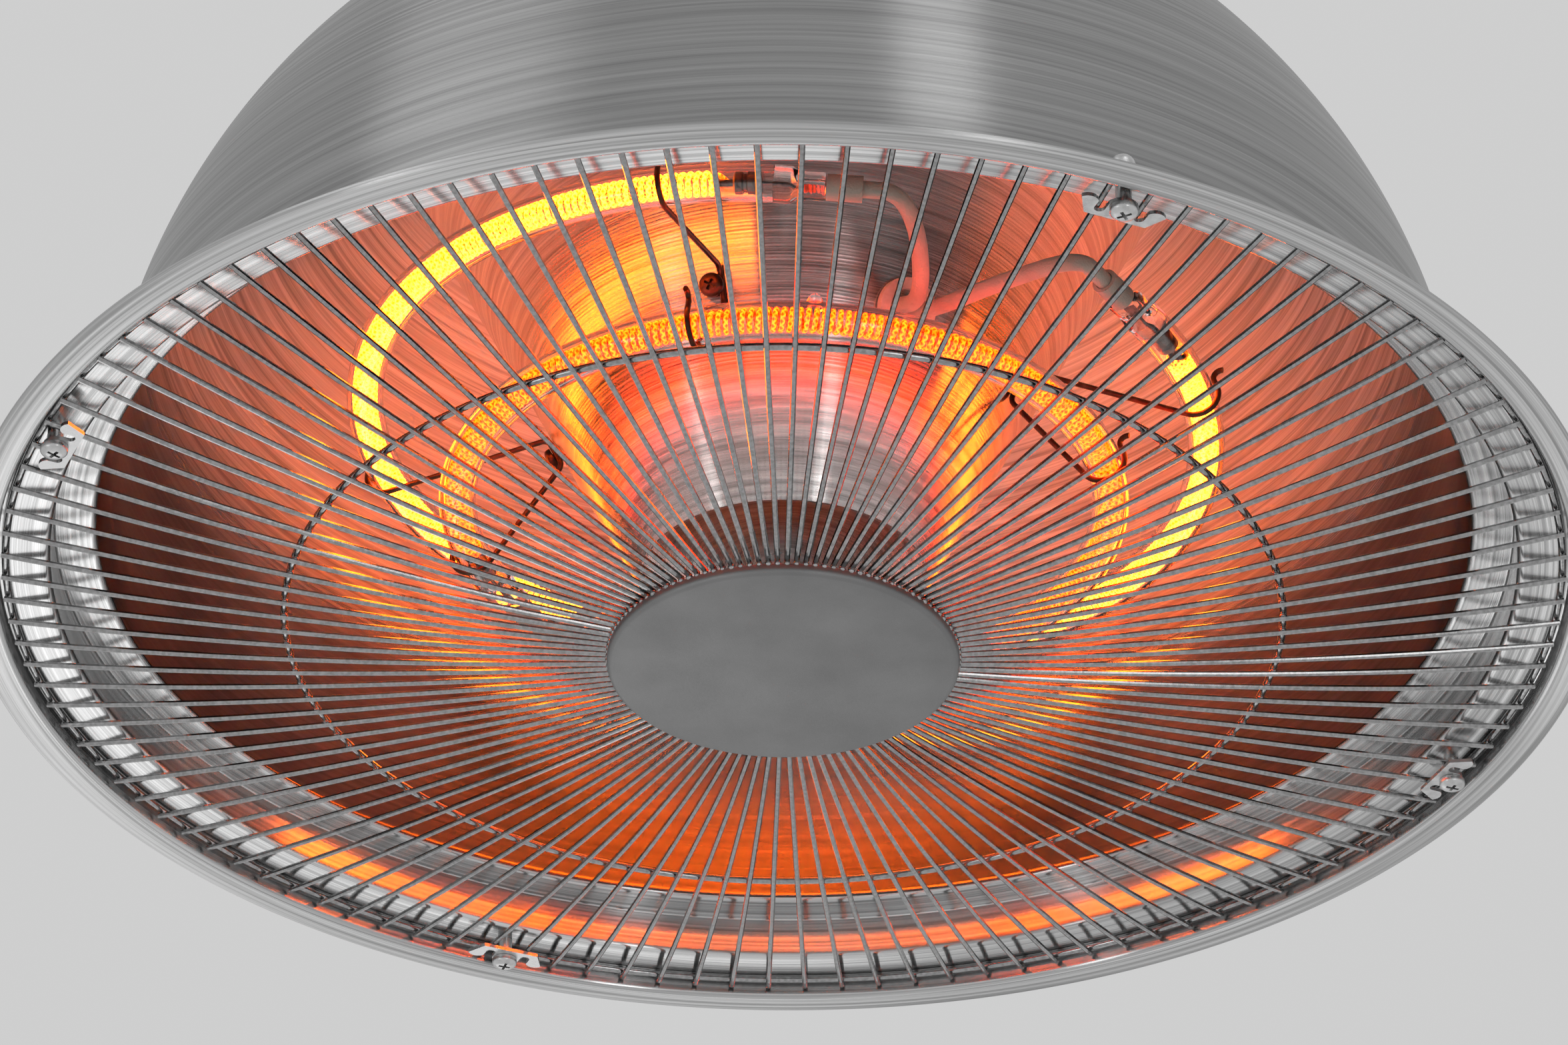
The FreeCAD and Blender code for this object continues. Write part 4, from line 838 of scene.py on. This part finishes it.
def make_seals(lamp):
    """Pinched ends: the tube flattens over its foil, with a rounded lip at the end."""
    sides = 28
    # Each station: its distance along the seal, how flat it is and its size
    stations = [(-4.0, 0.0, 1.0), (-0.4, 0.0, 1.0), (0.4, 0.1, 1.0), (1.4, 0.6, 1.0), (2.4, 1.0, 1.0),
                (5.0, 1.0, 0.97), (8.2, 1.0, 1.0), (8.8, 1.0, 0.93), (9.0, 1.0, 0.8)]
    seals = []
    foils = []
    for side in (-1, 1):
        place = lamp.end_frame(SEAL_END + SEAL_LENGTH, side)
        verts = []
        faces = []
        for distance, share, size in stations:
            verts += [(distance, y * size, z * size) for y, z in flat_section(share, sides)]
        for row in range(len(stations) - 1):
            for turn in range(sides):
                beside = (turn + 1) % sides
                here = row * sides
                faces.append((here + turn, here + beside, here + sides + beside, here + sides + turn))
        faces.append(tuple(reversed(range(sides))))
        faces.append(tuple(range((len(stations) - 1) * sides, len(stations) * sides)))
        seals.append(moved((verts, faces), place))
        wire = [Vector((distance, 0, 0)) for distance in (-7.0, -4.0, 0.0, 3.5)]
        foils.append(moved(tube(wire, FOIL_WIRE / 2, sides=8), place))
        near, far = FOIL_ENDS
        outline = [(near, -FOIL_HALF_WIDTH), (far, -FOIL_HALF_WIDTH),
                   (far, FOIL_HALF_WIDTH), (near, FOIL_HALF_WIDTH)]
        strip = [(x, y, z) for z in (-FOIL_HALF_THICKNESS, FOIL_HALF_THICKNESS) for x, y in outline]
        strip_faces = [(3, 2, 1, 0), (4, 5, 6, 7)]
        strip_faces += [(a, (a + 1) % 4, (a + 1) % 4 + 4, a + 4) for a in range(4)]
        foils.append(moved((strip, strip_faces), place))
    verts, faces, _ = join(seals)
    add_piece(lamp.name + "_pinches", verts, faces, "quartz", [lamp.name + "_seals"])
    verts, faces, _ = join(foils)
    add_piece(lamp.name + "_foils", verts, faces, "metal_end_block")


def make_end_blocks(lamp):
    """Turned metal blocks with a waist, between the coil and the seal."""
    parts = []
    # Distance along the block, and radius there
    profile = [(0.0, 2.2), (0.5, 2.9), (2.2, 2.9), (2.6, 2.4), (3.3, 2.4), (3.7, 2.9), (6.4, 2.9), (7.0, 2.3)]
    for side in (-1, 1):
        place = lamp.end_frame(BLOCK_START + BLOCK_LENGTH, side)
        outline = [(radius, distance) for distance, radius in profile]
        outline = [(AXIS_HOLE, 0.0)] + outline + [(AXIS_HOLE, BLOCK_LENGTH)]
        turned = lathe(outline, segments=20, closed=False)
        parts.append(moved(turned, place @ Matrix.Rotation(math.pi / 2, 4, "Y")))
        tail = [Vector((distance, 0, 0)) for distance in (-5.0, -2.5, 0.3)]
        parts.append(moved(tube(tail, BLOCK_TAIL / 2, sides=8), place))
    verts, faces, _ = join(parts)
    add_piece(lamp.name + "_blocks", verts, faces, "metal_end_block", [lamp.name + "_end_blocks"])


# Screws with a cross recess

# In shares of a head's radius and height: the flat of its crown, its upright edge, the reach, half width and
# depth of the cross, and what is left of its two arms at the bottom
CROWN_FLAT = 0.35
UPRIGHT_EDGE = 0.45
ARM_REACH = 0.58
ARM_HALF_WIDTH = 0.13
CROSS_DEPTH = 0.62
CROSS_BOTTOM = (0.55, 0.8)
HEAD_CHAMFER = 0.15
SHANK_CHAMFER = 0.5

# Points of a screw nearer to each other than this merge, which closes the hole at its axis
MERGE_WITHIN = 0.06


def scratch_object(name, verts, faces):
    """An object to cut or to cut with, its faces turned outwards."""
    bm = bmesh.new()
    corners = [bm.verts.new(vert) for vert in verts]
    for face in faces:
        bm.faces.new([corners[corner] for corner in face])
    bmesh.ops.remove_doubles(bm, verts=bm.verts, dist=MERGE_WITHIN)
    bmesh.ops.recalc_face_normals(bm, faces=bm.faces)
    mesh = bpy.data.meshes.new(name)
    bm.to_mesh(mesh)
    bm.free()
    made = bpy.data.objects.new(name, mesh)
    bpy.context.scene.collection.objects.link(made)
    return made


def cut_away(blank, cutter):
    """Verts and faces of one scratch object less another; both objects go."""
    modifier = blank.modifiers.new("cross", "BOOLEAN")
    modifier.operation = "DIFFERENCE"
    modifier.object = cutter
    bpy.context.view_layer.update()
    graph = bpy.context.evaluated_depsgraph_get()
    done = blank.evaluated_get(graph).to_mesh()
    verts = [vert.co.copy() for vert in done.vertices]
    faces = [tuple(polygon.vertices) for polygon in done.polygons]
    blank.evaluated_get(graph).to_mesh_clear()
    bpy.data.objects.remove(blank)
    bpy.data.objects.remove(cutter)
    return verts, faces


def cross_bar(head_radius, head_height):
    """Verts and faces of the cross that is pressed into a head, from below it upwards."""
    arm = head_radius * ARM_REACH
    half = head_radius * ARM_HALF_WIDTH
    corners = [(arm, half), (half, half), (half, arm), (-half, arm), (-half, half), (-arm, half),
               (-arm, -half), (-half, -half), (-half, -arm), (half, -arm), (half, -half), (arm, -half)]
    count = len(corners)
    below = 1.0
    verts = [(x, y, -head_height - below) for x, y in corners]
    verts += [(x * CROSS_BOTTOM[0], y * CROSS_BOTTOM[1], -head_height + head_height * CROSS_DEPTH)
              for x, y in corners]
    faces = [tuple(range(count - 1, -1, -1)), tuple(range(count, 2 * count))]
    for turn in range(count):
        beside = (turn + 1) % count
        faces.append((turn, beside, count + beside, count + turn))
    return verts, faces


def cross_screw(head_radius, head_height, shank_radius, length):
    """A pan-headed screw along Z, its head below the origin, with a cross pressed into it."""
    outline = [(AXIS_HOLE, -head_height)]
    steps = 6
    for step in range(steps + 1):
        angle = math.radians(90 - 90 * step / steps)
        outline.append((head_radius * (CROWN_FLAT + (1 - CROWN_FLAT) * math.cos(angle)),
                        -head_height * (UPRIGHT_EDGE + (1 - UPRIGHT_EDGE) * math.sin(angle))))
    outline += [
        (head_radius, -HEAD_CHAMFER),
        (head_radius - HEAD_CHAMFER, 0.0),
        (shank_radius, 0.0),
        (shank_radius, length - SHANK_CHAMFER),
        (shank_radius - SHANK_CHAMFER, length),
        (AXIS_HOLE, length),
    ]
    blank = scratch_object("screw_blank", *lathe(outline, segments=32, closed=False))
    return cut_away(blank, scratch_object("cross_cutter", *cross_bar(head_radius, head_height)))


def on_cone(radius, azimuth):
    """A frame on the cone's face: X leaves it, Z runs up it."""
    angle = math.atan(CONE_SLOPE)
    leaves = polar(math.cos(angle), azimuth, -math.sin(angle))
    runs_up = polar(math.sin(angle), azimuth, math.cos(angle))
    beside = runs_up.cross(leaves)
    spot = polar(radius, azimuth, HUB_LEVEL + (radius - HUB_RADIUS) / CONE_SLOPE)
    matrix = Matrix((leaves, beside, runs_up)).transposed().to_4x4()
    matrix.translation = spot
    return matrix


LAMP_CLIP_CIRCLE = 62.8
LAMP_CLIP_AZIMUTHS = [-17.0, 73.0, 163.0, 253.0]
LAMP_SCREW_LIFT = 1.7
CLIP_CIRCLE = 198.0
CLIP_AZIMUTHS = [23.58, 113.58, 203.58, 293.58]


def make_screws():
    screw = cross_screw(head_radius=3.2, head_height=2.2, shank_radius=1.5, length=6.3)
    parts = []
    for azimuth in LAMP_CLIP_AZIMUTHS:
        spin = Matrix.Rotation(random.uniform(0, math.pi), 4, "Z")
        place = on_cone(LAMP_CLIP_CIRCLE, azimuth) @ Matrix.Translation((LAMP_SCREW_LIFT, 0, 0))
        parts.append(moved(screw, place @ Matrix.Rotation(-math.pi / 2, 4, "Y") @ spin))
    verts, faces, _ = join(parts)
    add_piece("lamp_screws", verts, faces, "heat_browned_steel", ["lamp_clip_screws"])
    under = (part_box("guard_clip_1")[0].z - RIM_LEVEL) / MM
    top = (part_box("guard_clip_screws")[1].z - RIM_LEVEL) / MM
    screw = cross_screw(head_radius=3.5, head_height=2.4, shank_radius=2.0, length=top - under)
    parts = []
    for azimuth in CLIP_AZIMUTHS:
        spin = Matrix.Rotation(random.uniform(0, math.pi), 4, "Z")
        parts.append(moved(screw, Matrix.Translation(polar(CLIP_CIRCLE, azimuth, under)) @ spin))
    verts, faces, _ = join(parts)
    add_piece("guard_screws", verts, faces, "plated_steel", ["guard_clip_screws"])


# Leads

BUSH_CIRCLE = 61.7
BUSH_AZIMUTHS = [30.0, 210.0]
TERMINAL_CIRCLE = 19.0
TERMINAL_AZIMUTH = 117.75
TERMINAL_LEVEL = DOME_CENTRE + DOME_RADIUS
LEAD_HALF_PITCH = 2.5
LEAD_HALF_SPACING = 2.7
GATHER_CIRCLE = 28.0
GATHER_TURN = 0.39
GATHER_RISE = 0.37

# How far a lead's points at its bush are out of the cone's face, and its last points below the terminal
BESIDE_BUSH = (14.0, 0.0, -16.0)
LANDING = (22.0, 10.0, 0.0)

# Each lead: its lamp, its side, its straight run, then its bend as degrees from the gap and shares of the
# way in and up from the lamp to the bush
LEADS = {
    "outer_lamp_lead_a": (0, -1, 18.5, -7.0, 0.32, 0.30),
    "outer_lamp_lead_b": (0, 1, 21.1, 9.75, 0.44, -0.23),
    "inner_lamp_lead_a": (1, -1, 22.0, -7.75, 0.16, 0.35),
    "inner_lamp_lead_b": (1, 1, 22.0, 11.25, 0.16, 0.35),
}


def lead_route(which, side, run, turn, inward, upward):
    lamp = LAMPS[which]
    bush = on_cone(BUSH_CIRCLE, BUSH_AZIMUTHS[which])
    bush_level = bush.translation.z
    leaves = lamp.end_frame(SEAL_END + SEAL_LENGTH, side)
    route = [leaves @ Vector((SEAL_LENGTH + distance, 0, 0)) for distance in (END_GAP, run / 2, run)]
    circle = lamp.radius + (BUSH_CIRCLE - lamp.radius) * inward
    route.append(polar(circle, lamp.gap + turn, lamp.level + (bush_level - lamp.level) * upward))
    route += [bush @ Vector((depth, side * LEAD_HALF_PITCH, 0)) for depth in BESIDE_BUSH]
    to_go = TERMINAL_AZIMUTH - BUSH_AZIMUTHS[which]
    travel = math.copysign(1, to_go)
    across = side * travel * LEAD_HALF_SPACING
    gather_level = bush_level + (TERMINAL_LEVEL - bush_level) * GATHER_RISE
    route.append(polar(GATHER_CIRCLE + across, BUSH_AZIMUTHS[which] + to_go * GATHER_TURN, gather_level))
    outwards = polar(1, TERMINAL_AZIMUTH, 0)
    sideways = polar(1, TERMINAL_AZIMUTH + 90, 0)
    for drop in LANDING:
        spot = polar(TERMINAL_CIRCLE, TERMINAL_AZIMUTH, TERMINAL_LEVEL - drop)
        route.append(spot + outwards * across - sideways * travel * LEAD_HALF_PITCH)
    return route


def smooth_path(points):
    """Points along a NURBS spline with these control points."""
    curve = bpy.data.curves.new("route", "CURVE")
    curve.dimensions = "3D"
    curve.resolution_u = 12
    spline = curve.splines.new("NURBS")
    spline.points.add(len(points) - 1)
    for control, point in zip(spline.points, points):
        control.co = (*point, 1.0)
    spline.order_u = 3
    spline.use_endpoint_u = True
    holder = bpy.data.objects.new("route", curve)
    mesh = bpy.data.meshes.new_from_object(holder)
    path = [vert.co.copy() for vert in mesh.vertices]
    bpy.data.objects.remove(holder)
    bpy.data.meshes.remove(mesh)
    return path


def make_leads():
    for name, lead in LEADS.items():
        path = smooth_path(lead_route(*lead))
        verts, faces, uvs = tube(path, LEAD_DIAMETER / 2, sides=16)
        add_piece(name + "_sleeved", verts, faces, "glass_fibre_sleeve", [name], uvs)


# Studio

def make_camera():
    data = bpy.data.cameras.new("camera")
    data.sensor_width = SENSOR_WIDTH
    data.lens = CAMERA_FOCAL_PIXELS / IMAGE_WIDTH * SENSOR_WIDTH
    camera = bpy.data.objects.new("camera", data)
    look = Matrix.Rotation(math.pi / 2 + CAMERA_PITCH, 4, "X") @ Matrix.Rotation(CAMERA_ROLL, 4, "Z")
    camera.matrix_world = Matrix.Translation(to_row(CAMERA_PLACE)) @ look
    bpy.context.scene.collection.objects.link(camera)
    bpy.context.scene.camera = camera


def add_softbox(name, place, target, size, power):
    data = bpy.data.lights.new(name, "AREA")
    data.shape = "RECTANGLE"
    data.size, data.size_y = size
    data.energy = power
    light = bpy.data.objects.new(name, data)
    light.location = place
    light.visible_camera = False
    light.rotation_euler = (Vector(target) - Vector(place)).to_track_quat("-Z", "Y").to_euler()
    bpy.context.scene.collection.objects.link(light)


def make_floor():
    """A plain pale floor, far enough below the hook for views from under the heater."""
    shader = Shader("pale_floor", Specular_IOR_Level=0.2)
    clouds = shader.noise(3.0, 4.0)
    shader.drive("Base Color", shader.ramp(clouds, [(0.3, grey(0.58)), (0.7, grey(0.62))]))
    shader.drive("Roughness", shader.spread(clouds, 0.7, 0.9, 0.3, 0.7))
    path = shader.node("ShaderNodeLightPath").outputs
    mirrored = shader.math("MAXIMUM", path["Is Glossy Ray"], path["Is Transmission Ray"])
    seen = shader.math("MAXIMUM", path["Is Camera Ray"], mirrored)
    shader.drive("Emission Color", (1.0, 1.0, 1.0, 1.0))
    shader.drive("Emission Strength", shader.math("MULTIPLY", seen, FLOOR_PALENESS))
    mesh = bpy.data.meshes.new("floor")
    half = FLOOR_HALF_SIZE
    square = ((-half, -half), (half, -half), (half, half), (-half, half))
    corners = [(x, y, -HANGING_HEIGHT) for x, y in square]
    mesh.from_pydata(corners, [], [(0, 1, 2, 3)])
    mesh.materials.append(shader.material)
    floor = bpy.data.objects.new("floor", mesh)
    bpy.context.scene.collection.objects.link(floor)


def make_light():
    """Soft boxes in an evenly pale room."""
    middle = (0, 0, RIM_LEVEL)
    for name, (place, size, power) in SOFTBOXES.items():
        add_softbox(name, place, middle, size, power)
    world = bpy.data.worlds.new("studio")
    bpy.context.scene.world = world
    world.use_nodes = True
    tree = world.node_tree
    place = tree.nodes.new("ShaderNodeTexCoord")
    split = tree.nodes.new("ShaderNodeSeparateXYZ")
    tree.links.new(place.outputs["Generated"], split.inputs[0])
    level = tree.nodes.new("ShaderNodeMapRange")
    level.interpolation_type = "SMOOTHSTEP"
    tree.links.new(split.outputs["Z"], level.inputs["Value"])
    level.inputs["From Min"].default_value = -SKY_BLEND
    level.inputs["From Max"].default_value = SKY_BLEND
    level.inputs["To Min"].default_value = LOW_SKY
    level.inputs["To Max"].default_value = HIGH_SKY
    backdrop = tree.nodes["Background"]
    backdrop.inputs["Color"].default_value = (1, 1, 1, 1)
    tree.links.new(level.outputs["Result"], backdrop.inputs["Strength"])


dress_cad_nodes()
make_shade()
make_cone()
make_spokes()
make_ring("outer_ring", OUTER_RING, "guard_outer_ring")
make_ring("middle_ring", MIDDLE_RING, "guard_middle_ring")
make_disc()
make_weld_beads()
for ring_lamp in LAMPS:
    make_glass(ring_lamp)
    make_coil(ring_lamp)
    make_seals(ring_lamp)
    make_end_blocks(ring_lamp)
make_screws()
make_leads()
make_camera()
make_floor()
make_light()
bpy.context.scene.view_settings.view_transform = "Standard"
